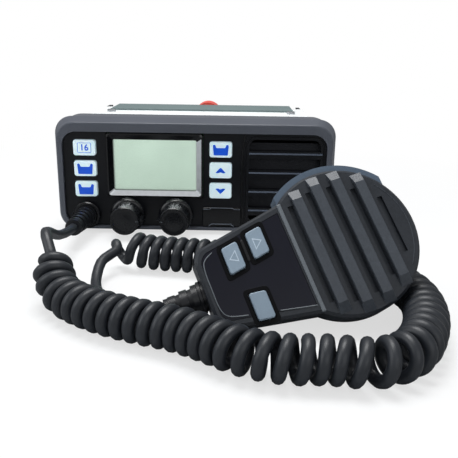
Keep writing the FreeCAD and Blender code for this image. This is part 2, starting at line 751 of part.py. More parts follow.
def ribbed_boot(name, big, small, length, ribs, place):
    """A tapered rubber boot with ribs, drawn along +Z from its fixed end."""
    core = solid("Cone", name + "_core", Radius1=f"{big} / 2 - 1", Radius2=f"{small} / 2 - 0.6",
                 Height=length)
    rings = []
    for index in range(int(number(ribs))):
        share = f"({index} + 0.5) / {ribs}"
        low = f"{length} * {index} / {ribs}"
        radius = f"({big} + ({small} - {big}) * {share}) / 2"
        rings.append(solid("Cylinder", f"{name}_rib_{index}", ("0", "0", low),
                           Radius=radius, Height=f"{length} / {ribs} * 0.62"))
    collar = solid("Cylinder", name + "_lip", ("0", "0", f"{length} * 0.86"),
                   Radius=f"{small} / 2", Height=f"{length} * 0.14")
    boot = fuse(name + "_solid", core, *rings, collar)
    keep(boot, name, place)


def along(start, direction):
    """Place a piece drawn along +Z so that it runs along a direction."""
    return Placement(start, Rotation(AXIS_Z, direction))


BOOT_TILT = Vector(0.0, -1.0, 0.06).normalize()


def radio_boot():
    """Strain relief on the panel, with its lock ring."""
    start = Vector(number("boot_x"), number(FACE + " - nut_proud - boot_seat"),
                   number("boot_z"))
    ribbed_boot("radio_boot", "boot_dia", "boot_end_dia", "boot_length", "boot_ribs",
                along(start, BOOT_TILT))
    ring = rod("nut_ring", "nut_dia", "nut_proud", "boot_x", FACE + " - nut_proud",
               "boot_z")
    stem = rod("nut_stem", "boot_dia - 3 - 2 * fit_gap", "plate_thick + 3", "boot_x", FACE,
               "boot_z")
    keep(fuse("nut", ring, stem), "boot_lock_ring")
    return start + BOOT_TILT * number("boot_length")


def mic_axes():
    """Return the microphone's placement, resting on the table."""
    lean = Rotation(Vector(1, 0, 0), -MIC_LEAN)
    turn = Rotation(AXIS_Z, MIC_TURN)
    roll = math.radians(MIC_ROLL)
    along_x = Vector(math.cos(roll), 0, math.sin(roll))
    along_y = Vector(-math.sin(roll), 0, math.cos(roll))
    spin = turn.multiply(lean)
    axes = [spin.multVec(item) for item in (along_x, along_y, Vector(0, -1, 0))]
    matrix = Matrix(axes[0].x, axes[1].x, axes[2].x, 0, axes[0].y, axes[1].y, axes[2].y, 0,
                    axes[0].z, axes[1].z, axes[2].z, 0, 0, 0, 0, 1)
    return Placement(MIC_CENTRE, Placement(matrix).Rotation)


def mic_outline(sketch, inset):
    """Head circle, tapered handle and flat tail, drawn with an inset."""
    radius = f"head_radius - ({inset})"
    neck = "-neck_reach"
    tail = f"-tail_reach + ({inset})"
    half = f"tail_half - ({inset})"
    rise = math.sqrt(number(radius) ** 2 - number(neck) ** 2)
    top, low = Vector(number(neck), rise), Vector(number(neck), -rise)
    tail_top, tail_low = Vector(number(tail), number(half)), Vector(number(tail), -number(half))
    angle = math.atan2(rise, number(neck))
    circle = Part.Circle(Vector(), AXIS_Z, number(radius))
    first = sketch.GeometryCount
    sketch.addGeometry(Part.ArcOfCircle(circle, -angle, angle))
    for start, end in ((top, tail_top), (tail_top, tail_low), (tail_low, low)):
        sketch.addGeometry(Part.LineSegment(start, end))
    sketch.addConstraint(Sketcher.Constraint("Coincident", first, 3, -1, 1))
    for one, end_one, two, end_two in ((0, 2, 1, 1), (1, 2, 2, 1), (2, 2, 3, 1), (3, 2, 0, 1)):
        sketch.addConstraint(Sketcher.Constraint(
            "Coincident", first + one, end_one, first + two, end_two))
    index = sketch.addConstraint(Sketcher.Constraint("Radius", first, number(radius)))
    sketch.renameConstraint(index, "radius")
    bind(sketch, "Constraints.radius", radius)
    lock(sketch, first + 1, 1, "X", neck, "neck_top")
    lock(sketch, first + 3, 2, "X", neck, "neck_low")
    lock(sketch, first + 2, 1, "X", tail, "tail_top_x")
    lock(sketch, first + 2, 1, "Y", half, "tail_top_y")
    lock(sketch, first + 2, 2, "X", tail, "tail_low_x")
    lock(sketch, first + 2, 2, "Y", f"-({half})", "tail_low_y")


def mic_block(name, inset, front, depth, corner, taper=None):
    """A body with the microphone's outline, from a front plane backwards."""
    body = doc.addObject("PartDesign::Body", name)
    sketch = new_sketch(body, name + "_outline", "XY_Plane", front)
    mic_outline(sketch, inset)
    pad(body, sketch, name + "_pad", depth, taper=taper)
    if corner is not None:
        dress(body, "Fillet", name + "_corners", corner,
              lambda edge: abs(edge.tangentAt(edge.FirstParameter).z) > 0.6
              and edge.CenterOfMass.x < -number("neck_reach") - 5)
    return body


def mic_keys():
    """Name each microphone key, with its middle and the slope of its sides."""
    return (("mic_down_key", "-43.2", "8.0", 0.18), ("mic_up_key", "-32.6", "10.6", 0.18),
            ("mic_square_key", "-39.9", "-12.2", -0.12))


def sheared(name, wide, tall, x, y, slope, low, high):
    """A key-shaped prism whose long sides are square and whose ends follow the handle's side."""
    hw, hh = f"({wide}) / 2", f"({tall}) / 2"
    x0, x1 = number(x) - number(hw), number(x) + number(hw)
    y0, half = number(y), number(hh)
    rise = slope * number(hw)
    points = [Vector(x0, y0 - half - rise), Vector(x1, y0 - half + rise),
              Vector(x1, y0 + half + rise), Vector(x0, y0 + half - rise)]
    body = doc.addObject("PartDesign::Body", name)
    sketch = new_sketch(body, name + "_outline", "XY_Plane", high)
    for index in range(4):
        sketch.addGeometry(Part.LineSegment(points[index], points[(index + 1) % 4]))
    for index in range(4):
        sketch.addConstraint(Sketcher.Constraint("Coincident", index, 2, (index + 1) % 4, 1))
    places = ((f"{x} - {hw}", f"{y} - {hh} - {slope} * {hw}"),
              (f"{x} + {hw}", f"{y} - {hh} + {slope} * {hw}"),
              (f"{x} + {hw}", f"{y} + {hh} + {slope} * {hw}"),
              (f"{x} - {hw}", f"{y} + {hh} - {slope} * {hw}"))
    for index, (px, py) in enumerate(places):
        lock(sketch, index, 1, "X", px, f"across{index}")
        lock(sketch, index, 1, "Y", py, f"up{index}")
    pad(body, sketch, name + "_pad", f"({high}) - ({low})")
    dress(body, "Fillet", name + "_corners", "mic_key_corner",
          lambda edge: is_line_along(edge, AXIS_Z))
    return body


def microphone():
    """Fist microphone, drawn flat and then leaned back on the table."""
    place = mic_axes()
    cavity_floor = "-shell_wall"
    shell = mic_block("front_shell", "0", "0", "shell_depth", "tail_corner")
    dress(shell, "Chamfer", "front_rim", "1.1", lambda edge: lies_at(edge, 2, 0.0))
    cavity = mic_block("front_cavity", "shell_wall", cavity_floor, "shell_depth",
                       "tail_corner - shell_wall")
    recess = solid("Box", "panel_recess_box", ("-tail_reach + 2", "-head_radius", "-panel_recess"),
                   Length="tail_reach - neck_reach - 3.2", Width="2 * head_radius", Height="3")
    limit = mic_block("panel_limit", "2.2", "2", "4", "tail_corner - 1.6")
    recess_shape = overlap("panel_recess_shape", recess, limit)
    key_holes = [sheared(name + "_hole", "mic_key_width + 2 * key_gap",
                         "mic_key_height + 2 * key_gap", x, y, slope, "-shell_wall - 1", "3")
                 for name, x, y, slope in mic_keys()]
    ribs, grooves = [], []
    for index in range(int(number("rib_count"))):
        x = f"rib_first + rib_pitch * {index}"
        reach = math.sqrt(max(number("head_radius - 4.5") ** 2 - number(x) ** 2, 1))
        ribs.append(solid("Box", f"rib_{index}", (f"{x} - rib_width / 2", str(-reach), "-0.5"),
                          Length="rib_width", Width=str(2 * reach), Height="rib_height * 0.5 + 0.5"))
        grooves.append(solid("Box", f"groove_{index}",
                             (f"{x} - rib_width / 2 - groove_width", str(-reach + 2),
                              "-groove_depth"), Length="groove_width",
                             Width=str(2 * reach - 4), Height="groove_depth + 1"))
    x = "rib_first + rib_pitch * rib_count - rib_width / 2"
    reach = math.sqrt(max(number("head_radius - 4.5") ** 2 - number(x) ** 2, 1))
    grooves.append(solid("Box", "groove_last", (f"{x} - groove_width", str(-reach + 1),
                                                "-groove_depth"), Length="groove_width",
                         Width=str(2 * reach - 2), Height="groove_depth + 1"))
    notch_disc = solid("Cylinder", "notch_outer", ("0", "0", "-shell_depth + 0.2"),
                       Radius="head_radius + 5", Height="shell_depth - 1.7")
    notch_core = solid("Cylinder", "notch_inner", ("0", "0", "-shell_depth"),
                       Radius="head_radius - lever_swing - 0.2", Height="shell_depth")
    notch_box = solid("Box", "notch_box", ("-lever_length / 2 + 2.7", "13.6", "-shell_depth"),
                      Length="lever_length + 0.7", Width="head_radius", Height="shell_depth")
    notch = overlap("lever_notch", cut("notch_ring", notch_disc, notch_core), notch_box)
    body = cut("front_shell_cut", shell, cavity, recess_shape, notch, *key_holes, *grooves)
    keep(fuse("front_shell_done", body, *ribs), "mic_front_shell", place)

    back = mic_block("back_shell", "0", "-shell_depth - seam_gap", "back_depth", "tail_corner",
                     taper="-back_taper")
    hollow = mic_block("back_cavity", "shell_wall + 0.6", "-shell_depth - seam_gap",
                       "back_depth - shell_wall", None, taper="-back_taper")
    keep(cut("back_shell_done", back, hollow), "mic_back_shell", place)

    face = mic_block("face_sheet", "2.4", "0", "panel_recess", "tail_corner - 1.8")
    keep_in = solid("Box", "face_limit", ("-tail_reach", "-head_radius", "-2"),
                    Length="tail_reach - neck_reach - 1.4", Width="2 * head_radius", Height="4")
    trimmed = overlap("face_trimmed", face, keep_in)
    more_holes = [sheared(name + "_gap", "mic_key_width + 2 * key_gap",
                          "mic_key_height + 2 * key_gap", x, y, slope, "-3", "3")
                  for name, x, y, slope in mic_keys()]
    keep(cut("face_sheet_done", trimmed, *more_holes), "mic_face_panel", place)

    for name, x, y, slope in mic_keys():
        key = sheared(name + "_body", "mic_key_width", "mic_key_height", x, y, slope,
                      "-shell_wall - 0.4 + mic_key_travel", "mic_key_proud")
        top = number("mic_key_proud")
        dress(key, "Fillet", name + "_edge", "0.5", lambda edge: lies_at(edge, 2, top))
        keep(key, name, place)
    mat_top = "-shell_wall - 0.4"
    mat = box("mic_mat_sheet", "22", "32", "1.6", "-37.5", "-16", f"{mat_top} - 1.6")
    limit = mic_block("mat_limit", "shell_wall + 0.3", "0", "6", "tail_corner - shell_wall - 0.3")
    keep(overlap("mic_mat", mat, limit), "mic_keypad_mat", place)
    board = box("mic_board_sheet", "44", "25", "board_thick", "-25", "-12.5",
                f"{mat_top} - 1.8 - board_thick")
    keep(gather("mic_board_done", board), "mic_board", place)
    keep(gather("capsule_done", rod("capsule", "capsule_dia", "4.2", "5", "0",
                                    "-shell_wall - 4.4", Rotation())), "mic_capsule", place)

    lever_disc = solid("Cylinder", "lever_outer", ("0", "0", "-shell_depth + 0.5"),
                       Radius="head_radius + lever_proud", Height="shell_depth - 2.3")
    lever_hole = solid("Cylinder", "lever_inner", ("0", "0", "-shell_depth"),
                       Radius="head_radius - 0.15", Height="shell_depth")
    lever_box = solid("Box", "lever_box", ("-lever_length / 2 + 3", "14", "-shell_depth"),
                      Length="lever_length", Width="head_radius", Height="shell_depth + 2")
    keep(overlap("lever", cut("lever_ring", lever_disc, lever_hole), lever_box), "ptt_lever",
         place)

    stud_x = "4"
    neck = rod("stud_neck", "stud_neck_dia", "stud_length", stud_x, "0",
               "-shell_depth - back_depth - seam_gap - stud_length", Rotation())
    disc = rod("stud_disc", "stud_dia", "2", stud_x, "0",
               "-shell_depth - back_depth - seam_gap - stud_length", Rotation())
    keep(fuse("stud", neck, disc), "hanger_stud", place)
    return place


def bezier_axis():
    """Return the coil's centre line as a clamped quadratic spline."""
    height = number("coil_dia / 2 + coil_lift")
    poles = [Vector(x, y, height + lift) for x, y, lift in COIL_ROUTE]
    spans = len(poles) - 2
    spline = Part.BSplineCurve()
    spline.buildFromPolesMultsKnots(poles, [3] + [1] * (spans - 1) + [3],
                                    [float(index) for index in range(spans + 1)], False, 2)
    return spline


def helix_points(spline, per_turn):
    """Walk the centre line and wind the wire round it, left-handed.

    The turns open where the line bends, and the wire leaves the line's ends in a spiral.
    """
    radius = number("(coil_dia - wire_dia) / 2")
    least_pitch = number("wire_dia + coil_gap")
    steps = 4000
    length = spline.length()
    places = [spline.parameterAtDistance(length * index / steps, spline.FirstParameter)
              for index in range(steps + 1)]
    phase, phases = 0.0, [0.0]
    for index in range(steps):
        bend = spline.curvature(places[index])
        pitch = max(number("coil_pitch"), least_pitch / (1 - min(radius * bend, 0.5)))
        edge = min(index, steps - index) * length / steps
        pitch += number("lead_in_pitch") * max(0.0, 1 - edge / number("lead_in"))
        phase += length / steps / pitch
        phases.append(phase)
    turns = math.floor(phase)
    count = int(turns * per_turn)
    points = []
    spot = 0
    for index in range(count + 1):
        wanted = phase * index / count
        while spot < steps - 1 and phases[spot + 1] < wanted:
            spot += 1
        part_way = min(1.0, (wanted - phases[spot]) / (phases[spot + 1] - phases[spot]))
        here = places[spot] + (places[spot + 1] - places[spot]) * part_way
        travelled = (spot + part_way) * length / steps
        edge = min(travelled, length - travelled) / number("lead_in")
        ease = 1.0 if edge > 1 else edge * edge * (3 - 2 * edge)
        centre = spline.value(here)
        forward = spline.tangent(here)[0].normalize()
        side = AXIS_Z.cross(forward).normalize()
        upward = forward.cross(side)
        angle = -2 * math.pi * turns * index / count
        points.append(centre + (side * math.cos(angle) + upward * math.sin(angle))
                      * radius * ease)
    return points, turns


def helix_tangents(points):
    """Central differences, with one-sided ends."""
    last = len(points) - 1
    return [(points[min(index + 1, last)] - points[max(index - 1, 0)]).normalize()
            for index in range(len(points))]


def arc_between(start, tangent, end):
    """An arc from a point along a tangent to another point."""
    chord = end - start
    length = chord.Length
    unit = Vector(chord).normalize()
    off = tangent - unit * tangent.dot(unit)
    if off.Length < 1e-9:
        return Part.LineSegment(start, end)
    half = math.acos(max(-1.0, min(1.0, tangent.dot(unit)))) / 2
    middle = (start + end) / 2 + off.normalize() * (length / 2 * math.tan(half))
    return Part.Arc(start, middle, end)


def biarc(start, t_start, end, t_end):
    """Two arcs that meet smoothly between two points with given tangents."""
    chord = end - start
    both = t_start + t_end
    turn = 2 * (1 - t_start.dot(t_end))
    reach = chord.dot(both)
    if turn < 1e-9:
        step = chord.dot(chord) / (4 * chord.dot(t_end))
    else:
        step = (-reach + math.sqrt(reach ** 2 + turn * chord.dot(chord))) / turn
    middle = (start + t_start * step + end - t_end * step) / 2
    first = arc_between(start, t_start, middle)
    back = arc_between(end, t_end * -1, middle)
    second = Part.Arc(middle, back.value((back.FirstParameter + back.LastParameter) / 2), end)
    return first, second


def pipe(edges, start, direction, dia):
    """Sweep a round section along smooth edges."""
    wire = Part.Wire([edge.toShape() for edge in edges])
    shell = Part.BRepOffsetAPI.MakePipeShell(wire)
    circle = Part.Circle(start, direction, dia / 2)
    shell.add(Part.Wire([circle.toShape()]))
    shell.build()
    shell.makeSolid()
    return shell.shape()


def curly_lead():
    """The wound part: one unbroken tube with its curls."""
    spline = bezier_axis()
    points, turns = helix_points(spline, 48)
    tangents = helix_tangents(points)
    wire = number("wire_dia")
    step = 12
    marks = list(range(0, len(points), step))
    if marks[-1] != len(points) - 1:
        marks.append(len(points) - 1)
    head = points[0] - tangents[0] * wire
    foot = points[-1] + tangents[-1] * wire
    edges = [Part.LineSegment(head, points[0])]
    for one, two in zip(marks, marks[1:]):
        edges.extend(biarc(points[one], tangents[one], points[two], tangents[two]))
    edges.append(Part.LineSegment(points[-1], foot))
    shape = pipe(edges, head, tangents[0], wire)
    thing = doc.addObject("Part::Feature", "curly_lead_solid")
    thing.Shape = shape
    keep(thing, "curly_lead")
    least = 1e9
    sparse = points[::2]
    for index, one in enumerate(sparse):
        for two in sparse[index + 14:index + 90]:
            gap = one.distanceToPoint(two) - wire
            least = min(least, gap)
    low = min(point.z for point in points) - wire / 2
    print("curly cord: turns", turns, "axis length", round(spline.length(), 1),
          "least gap to itself", round(least, 2), "lowest", round(low, 2),
          "volume", round(shape.Volume, 1), "over section times length",
          round(shape.Volume / (math.pi * wire ** 2 / 4 * sum(e.length() for e in edges)), 4))
    return head, tangents[0], foot, tangents[-1]


def rounded_route(points):
    """Straight runs joined by tangent arcs; print and return the edges."""
    edges, radii = [], []
    start = points[0]
    for before, corner, after in zip(points, points[1:], points[2:]):
        run_in, run_out = corner - before, after - corner
        turn = run_in.getAngle(run_out)
        shorter = min(run_in.Length, run_out.Length)
        radius = 0.45 * shorter / math.tan(turn / 2)
        radii.append(round(radius, 1))
        reach = 0.45 * shorter
        one = corner - Vector(run_in).normalize() * reach
        two = corner + Vector(run_out).normalize() * reach
        edges.append(Part.LineSegment(start, one))
        edges.append(arc_between(one, Vector(run_in).normalize(), two))
        start = two
    edges.append(Part.LineSegment(start, points[-1]))
    return edges, radii


def plain_lead(name, points):
    """A plain stretch of the cord as a tube."""
    wire = number("wire_dia")
    edges, radii = rounded_route(points)
    direction = (points[1] - points[0]).normalize()
    shape = pipe(edges, points[0], direction, wire)
    length = sum(edge.length() for edge in edges)
    expected = math.pi * wire ** 2 / 4 * length
    thing = doc.addObject("Part::Feature", name + "_solid")
    thing.Shape = shape
    keep(thing, name)
    print(name, "length", round(length, 1), "radii", radii, "volume over section times length",
          round(shape.Volume / expected, 4))


front_frame()
face_plate()
speaker_grille()
speaker()
display()
panel_keys()
knobs()
label_plate()
front_board()
chassis()
electronics()
rear_connectors()
boot_end = radio_boot()
mic_place = microphone()

doc.recompute()
lowest = min(nodes[name].Shape.BoundBox.ZMin for name in
             ("mic_front_shell", "mic_back_shell"))
print("microphone's lowest point before it is set down", round(lowest, 3))
rise = Vector(0, 0, -lowest)
for name, thing in nodes.items():
    if name.startswith("mic_") or name in ("ptt_lever", "hanger_stud"):
        thing.Placement = Placement(mic_place.Base + rise, mic_place.Rotation)
mic_place = Placement(mic_place.Base + rise, mic_place.Rotation)

tail = mic_place.multVec(Vector(-number("tail_reach + 1"), 0, -number("shell_depth") + 0.5))
MIC_BOOT_WAY = Vector(-0.93, -0.15, -0.30).normalize()
ribbed_boot("mic_boot", "mic_boot_dia", "mic_boot_end_dia", "mic_boot_length",
            "mic_boot_ribs", along(tail, MIC_BOOT_WAY))
mic_boot_end = tail + MIC_BOOT_WAY * number("mic_boot_length")
head, head_way, foot, foot_way = curly_lead()
plain_lead("radio_lead", [boot_end, boot_end + BOOT_TILT * 9]
           + [Vector(*point) for point in RADIO_LEAD]
           + [head - head_way * 7, head])
plain_lead("mic_lead", [foot, foot + foot_way * 5] + [Vector(*point) for point in MIC_LEAD]
           + [mic_boot_end + MIC_BOOT_WAY * 6, mic_boot_end])
print("boot end", boot_end, "coil head", head, head_way, "coil foot", foot, foot_way)
print("mic boot end", mic_boot_end)

doc.recompute()
for thing in doc.Objects:
    if "Invalid" in thing.State or "Error" in thing.State:
        raise RuntimeError(f"{thing.Name} failed: {thing.State}")
for name, thing in nodes.items():
    if thing.Shape.isNull() or not thing.Shape.isValid():
        raise RuntimeError(name + " has no valid shape")
for name, thing in nodes.items():
    thing.Shape.exportStep(f"parts/{name}.step")
print(len(nodes), "nodes", sum(len(thing.Shape.Solids) for thing in nodes.values()), "solids")
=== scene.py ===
"""Looks of a fixed-mount marine radio with a fist microphone on a curly cord.

The add-on dresses the packed model: each operator makes one piece or group of pieces, and the
panel in the sidebar shows their settings. Places in the tables are in millimetres in the model's
frame; the microphone's are in its own frame (x towards the head, y towards the talk lever, z out
of the face).
"""
import math

import bpy
from bpy.props import FloatProperty, FloatVectorProperty, IntProperty, PointerProperty
from mathutils import Matrix, Vector


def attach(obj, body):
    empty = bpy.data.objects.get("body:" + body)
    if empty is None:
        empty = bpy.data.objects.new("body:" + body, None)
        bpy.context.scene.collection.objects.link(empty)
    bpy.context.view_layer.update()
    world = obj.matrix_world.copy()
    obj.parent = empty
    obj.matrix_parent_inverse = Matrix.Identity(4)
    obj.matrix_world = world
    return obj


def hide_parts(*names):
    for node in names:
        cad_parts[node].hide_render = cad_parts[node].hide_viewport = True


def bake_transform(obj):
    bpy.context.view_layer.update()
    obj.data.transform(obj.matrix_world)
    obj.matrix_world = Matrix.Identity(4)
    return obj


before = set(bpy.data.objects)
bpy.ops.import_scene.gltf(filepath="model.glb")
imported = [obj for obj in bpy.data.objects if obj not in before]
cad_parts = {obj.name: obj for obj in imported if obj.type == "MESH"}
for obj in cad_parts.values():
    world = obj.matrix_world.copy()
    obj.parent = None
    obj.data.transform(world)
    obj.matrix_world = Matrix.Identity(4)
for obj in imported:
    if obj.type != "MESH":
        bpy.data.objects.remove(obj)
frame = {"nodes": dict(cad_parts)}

bl_info = {
    "name": "Marine Radio Looks",
    "version": (1, 0, 0),
    "blender": (4, 5, 0),
    "location": "View3D > Sidebar > Marine Radio",
    "description": "Materials, lettering-free trim, cord, lights and camera for a marine radio",
    "category": "Object",
}

MM = 0.001
TINY = 1e-9
RADIO = "radio"
MIC = "microphone"
# The packed frame has materials of its own, so the names of these start differently
PREFIX = "look_"

# The microphone's frame: its angles on the table and the middle of its head's face
MIC_TURN = 6.64
MIC_LEAN = 35.6
MIC_ROLL = 18.64
MIC_CENTRE = Vector((65.1, -167.0, 33.6))

# The cord's route from boot to boot; the coil's heights are above its resting height
BOOT_END = (-60.8, -85.944, 12.157)
RADIO_LEAD = [(-60.8, -94.93, 12.7), (-61.0, -112.0, 16.0), (-59.8, -125.0, 21.0)]
COIL_ROUTE = [
    (-54.5, -147.5, 11.5), (-50.5, -158.0, 3.5), (-45.5, -166.0, 0.0), (-37.5, -174.0, 0.0),
    (-26.5, -182.0, 0.0), (-12.0, -189.0, 0.0), (2.0, -194.0, 0.0), (14.0, -201.5, 0.0),
    (26.0, -211.0, 0.0), (40.0, -215.5, 0.0), (54.0, -214.5, 0.0), (67.8, -217.5, 0.0),
    (80.8, -211.0, 0.0), (89.3, -197.0, 0.0), (95.2, -180.0, 0.0), (97.2, -162.0, 0.0),
    (92.6, -145.5, 0.0), (79.3, -133.6, 0.0), (58.0, -126.8, 0.0), (32.0, -121.5, 0.0),
    (4.0, -116.5, 0.0), (-20.0, -112.5, 0.0), (-30.5, -111.0, 3.0), (-33.5, -119.0, 2.0),
]
MIC_LEAD = [(-38.5, -136.0, 5.0), (-37.0, -145.0, 2.6), (-31.5, -155.0, 2.6),
            (-23.0, -164.5, 2.6), (-14.5, -171.0, 2.7)]
MIC_BOOT_END = (-2.764, -178.672, 8.618)
MIC_BOOT_WAY = Vector((-0.93, -0.15, -0.30)).normalized()
MIC_BOOT_LENGTH = 14.0

# Plain runs between the coil and the leads, and before the microphone's boot
RUN_OUT = 7.0
RUN_IN = 5.0
BOOT_RUN = 6.0

# How the coil is wound: its clearance over the table, the added pitch at its ends, the greatest
# share that a bend takes, and counts of points along its finely drawn centre line
COIL_CLEARANCE = 0.1
END_PITCH = 5.0
SHARPEST = 0.5
LINE_STEPS = 90
BEND_REACH = 6
AHEAD_REACH = 3

# The floor and the lamps, in metres: each lamp has a place, a size and a colour
FLOOR_REACH = 4.0
FADE_MIDDLE = (0.0, -0.08, 0.0)
FADE_START = 0.16
FADE_RATE = 5.0
LAMP_TARGET = (0.0, -0.10, 0.03)
LAMPS = {
    "top": ((-0.05, -0.02, 0.75), (0.5, 0.34), (1.0, 1.0, 1.0)),
    "left": ((-0.75, -0.35, 0.45), (0.6, 0.6), (0.96, 0.98, 1.0)),
    "front": ((0.35, -0.85, 0.40), (0.7, 0.5), (0.97, 0.985, 1.0)),
}

# Signs on the keys: the keys' middles, and the signs as places about them
KEY_FRONT_Y = -54.2
PRINT_FOOT = -0.02
KEY_PLACES = {
    "key_16": (-60.7, 48.5), "key_channel": (-60.7, 36.9), "key_power": (-60.7, 25.3),
    "key_scan": (14.5, 48.5), "key_up": (14.5, 36.9), "key_down": (14.5, 25.3),
}
BORDER_OUTER = (7.6, 5.6, 0.6)
BORDER_INNER = (7.1, 5.1, 0.4)
EAR_FIELD = [(-4.4, 2.6), (-3.1, 2.9), (-2.5, 1.0), (2.5, 1.0), (3.1, 2.9), (4.4, 2.6),
             (3.9, -3.1), (-3.9, -3.1)]
EAR_ROUND = 0.6
ARROW = [(-2.9, -1.3), (-0.3, 1.5), (0.3, 1.5), (2.9, -1.3), (1.3, -1.5), (0.0, -0.9),
         (-1.3, -1.5)]
ARROW_ROUND = 0.4

# The display's bezel: its middle, its outlines as width, height and corner radius, the outlines
# in turn with their depths, the sloped turn, and where that slope gets bright metal as a painted
# highlight
BEZEL_MIDDLE = (-22.0, 39.0)
BEZEL_OUTLINES = {"outer": (53.2, 35.6, 2.2), "lip": (51.6, 34.0, 1.8), "inner": (46.2, 28.6, 1.0)}
BEZEL_TURNS = [("outer", -50.6), ("outer", -54.2), ("lip", -54.6), ("inner", -53.0),
               ("inner", -50.6)]
BEZEL_SLOPE = 2
SHINE_BELOW = 25.0
SHINE_RIGHT_OF = 1.0
SHINE_UNDER = 53.0

# Turned shapes, as radius and distance in front of the model's middle
KNOBS = {"volume": (-37.4, 1), "squelch": (-10.3, -1)}
KNOB_LEVEL = 11.2
KNOB_SKIRT = [(8.0, 55.4), (9.5, 55.4), (9.8, 55.9), (9.7, 56.8), (8.9, 57.9), (8.2, 58.3),
              (7.0, 58.4)]
KNOB_FRONT = [(7.86, 68.6), (7.84, 69.5), (7.5, 69.95), (6.9, 70.0), (6.3, 69.75), (5.2, 69.6),
              (3.0, 69.85), (1.0, 69.95)]
POINTER = [(6.4, -0.25, 70.05), (7.7, -0.25, 69.9), (7.7, 0.25, 69.9), (6.4, 0.25, 70.05)]
COLLAR_MIDDLE = (-60.8, 10.4)
COLLAR = [(5.9, 54.7), (7.4, 54.9), (7.7, 55.5), (7.2, 56.1), (6.2, 56.2)]
ROUND_SEGMENTS = 48

# Thicknesses of the raised lines
RIDGE_THICK = 0.9
ARCH_THICK = 0.35
EDGE_THICK = 0.45
BADGE_THICK = 0.3

# Edges on the panel: the louvres' painted highlight strips, as height over the slat's top and
# depth, and lines
SLAT_TOP = 46.6
SLAT_PITCH = 10.8
SLAT_COUNT = 4
SLAT_ENDS = (30.2, 70.6)
SLAT_SECTION = [(-0.6, -53.05), (0.1, -53.5), (0.35, -53.1), (0.1, -52.4)]
RIDGE = [(28.0, -53.2, 57.0), (26.6, -53.4, 50.0), (26.2, -53.5, 40.0), (26.2, -53.5, 26.0),
         (26.7, -53.4, 14.0), (27.8, -53.2, 5.0)]
LABEL_ARCH = [(4.9, -53.9, 14.6), (8.4, -53.9, 14.6), (9.4, -53.9, 15.4), (21.4, -53.9, 15.4),
              (22.4, -53.9, 14.6), (25.6, -53.9, 14.6)]
LABEL_TAB = [(8.0, -54.1, 4.7), (9.6, -54.1, 6.0), (20.6, -54.1, 6.0), (22.2, -54.1, 4.7)]

# Ribs of the microphone: the solid ribs' left sides and half width, the circle that their ends
# follow, and how far the bars' ends reach past it, with the insets of their two long edges
RIB_FIRST = -13.75
RIB_PITCH = 8.8
RIB_COUNT = 4
RIB_HALF = 1.75
RIB_CIRCLE = 25.5
RIB_FOOT = -0.3
RIB_TOE = (3.0, 0.1, 0.2)
RIB_SHOULDER = (-1.0, 0.3, 0.9)

# The microphone's face: each key's middle and slope, the surrounds of painted shade as width,
# height and corner radius, the signs' corners as across, up and tilt, and lines
MIC_KEYS = {
    "mic_down_key": (-43.2, 8.0, 0.18), "mic_up_key": (-32.6, 10.6, 0.18),
    "mic_square_key": (-39.9, -12.2, -0.12),
}
WELL_OUTER = (9.9, 14.2, 2.0)
WELL_INNER = (7.0, 11.2, 1.0)
WELL_TOP = 0.22
SIGN_CORNERS = [(1.9, 0.0, 0.3), (-1.5, 2.4, -0.3), (-1.5, -2.4, -0.3)]
SIGN_OPENING = 0.72
SIGN_LOW = 1.25
SIGN_TOP = 1.3
DIVIDER = (-37.9, 9.3, 1.1, 8.6, 0.18)
DIVIDER_TOP = 0.6
NECK_BAR = (-19.0, 0.0, 1.6, 44.4, 0.0)
NECK_LOW = -0.3
NECK_TOP = 0.5
EDGE_OUT = 0.06
EDGE_LOW = [(-20.4, -19.2), (-27.0, -17.8), (-34.2, -16.2)]
EDGE_TAIL = [(-45.8, -13.7), (-50.0, -12.8), (-53.6, -11.4), (-55.0, -8.0), (-55.0, 0.0),
             (-55.0, 8.0), (-53.6, 11.4), (-50.0, 12.8)]
BADGE_RADIUS = 27.0
BADGE_OUT = 0.02
BADGE_ANGLES = [-40 + 5 * step for step in range(17)]

# The boot's root, as radius and distance from the boot's foot along the cord
BOOT_ROOT = [(5.4, -8.0), (6.3, -7.6), (6.3, -2.4), (5.7, -2.2), (5.7, -0.9), (6.3, -0.7),
             (6.3, 0.3), (6.0, 0.6)]


def srgb(red, green, blue):
    """Turn a display colour of 0 to 255 into a linear one."""
    channels = []
    for value in (red, green, blue):
        value /= 255
        channels.append(value / 12.92 if value <= 0.04045 else ((value + 0.055) / 1.055) ** 2.4)
    return (*channels, 1.0)


def tint(name, about, red, green, blue):
    """A colour setting with a display colour of 0 to 255 as its default."""
    return FloatVectorProperty(name=name, description=about, subtype="COLOR", min=0.0, max=1.0,
                               default=srgb(red, green, blue)[:3])


def measure(name, about, default):
    """A length setting with a default in millimetres."""
    return FloatProperty(name=name, description=about, unit="LENGTH", default=default * MM)


class FinishSettings(bpy.types.PropertyGroup):
    """Main colours of the radio and its microphone."""

    frame: tint("Frame", "Moulded frame round the front", 82, 86, 95)
    panel: tint("Panel", "Face plate and grille", 15, 17, 22)
    knobs: tint("Knobs", "Knobs and cord collar", 13, 15, 19)
    signs: tint("Signs", "Prints on the lit keys", 0, 92, 238)
    # The top cover's near-white is a painted reflection of the white backdrop at a grazing angle
    cover: tint("Cover", "Top cover", 238, 242, 243)
    # The rear plate's pale teal grey is a painted reflection of the white backdrop at a grazing
    # angle
    rear: tint("Rear", "Rear plate", 104, 120, 121)
    cap: tint("Cap", "Antenna socket's dust cap", 232, 82, 70)
    cord: tint("Cord", "Curly cord and its leads", 33, 37, 43)
    mic_shell: tint("Microphone", "Front shell of the microphone", 40, 44, 50)
    # The ribs are the shell's plastic made lighter: painted light on their raised faces
    mic_ribs: tint("Ribs", "Ribs of the microphone", 66, 71, 78)
    mic_keys: tint("Microphone keys", "Keys of the microphone", 134, 152, 168)
    lever: tint("Lever", "Push-to-talk lever", 80, 94, 110)


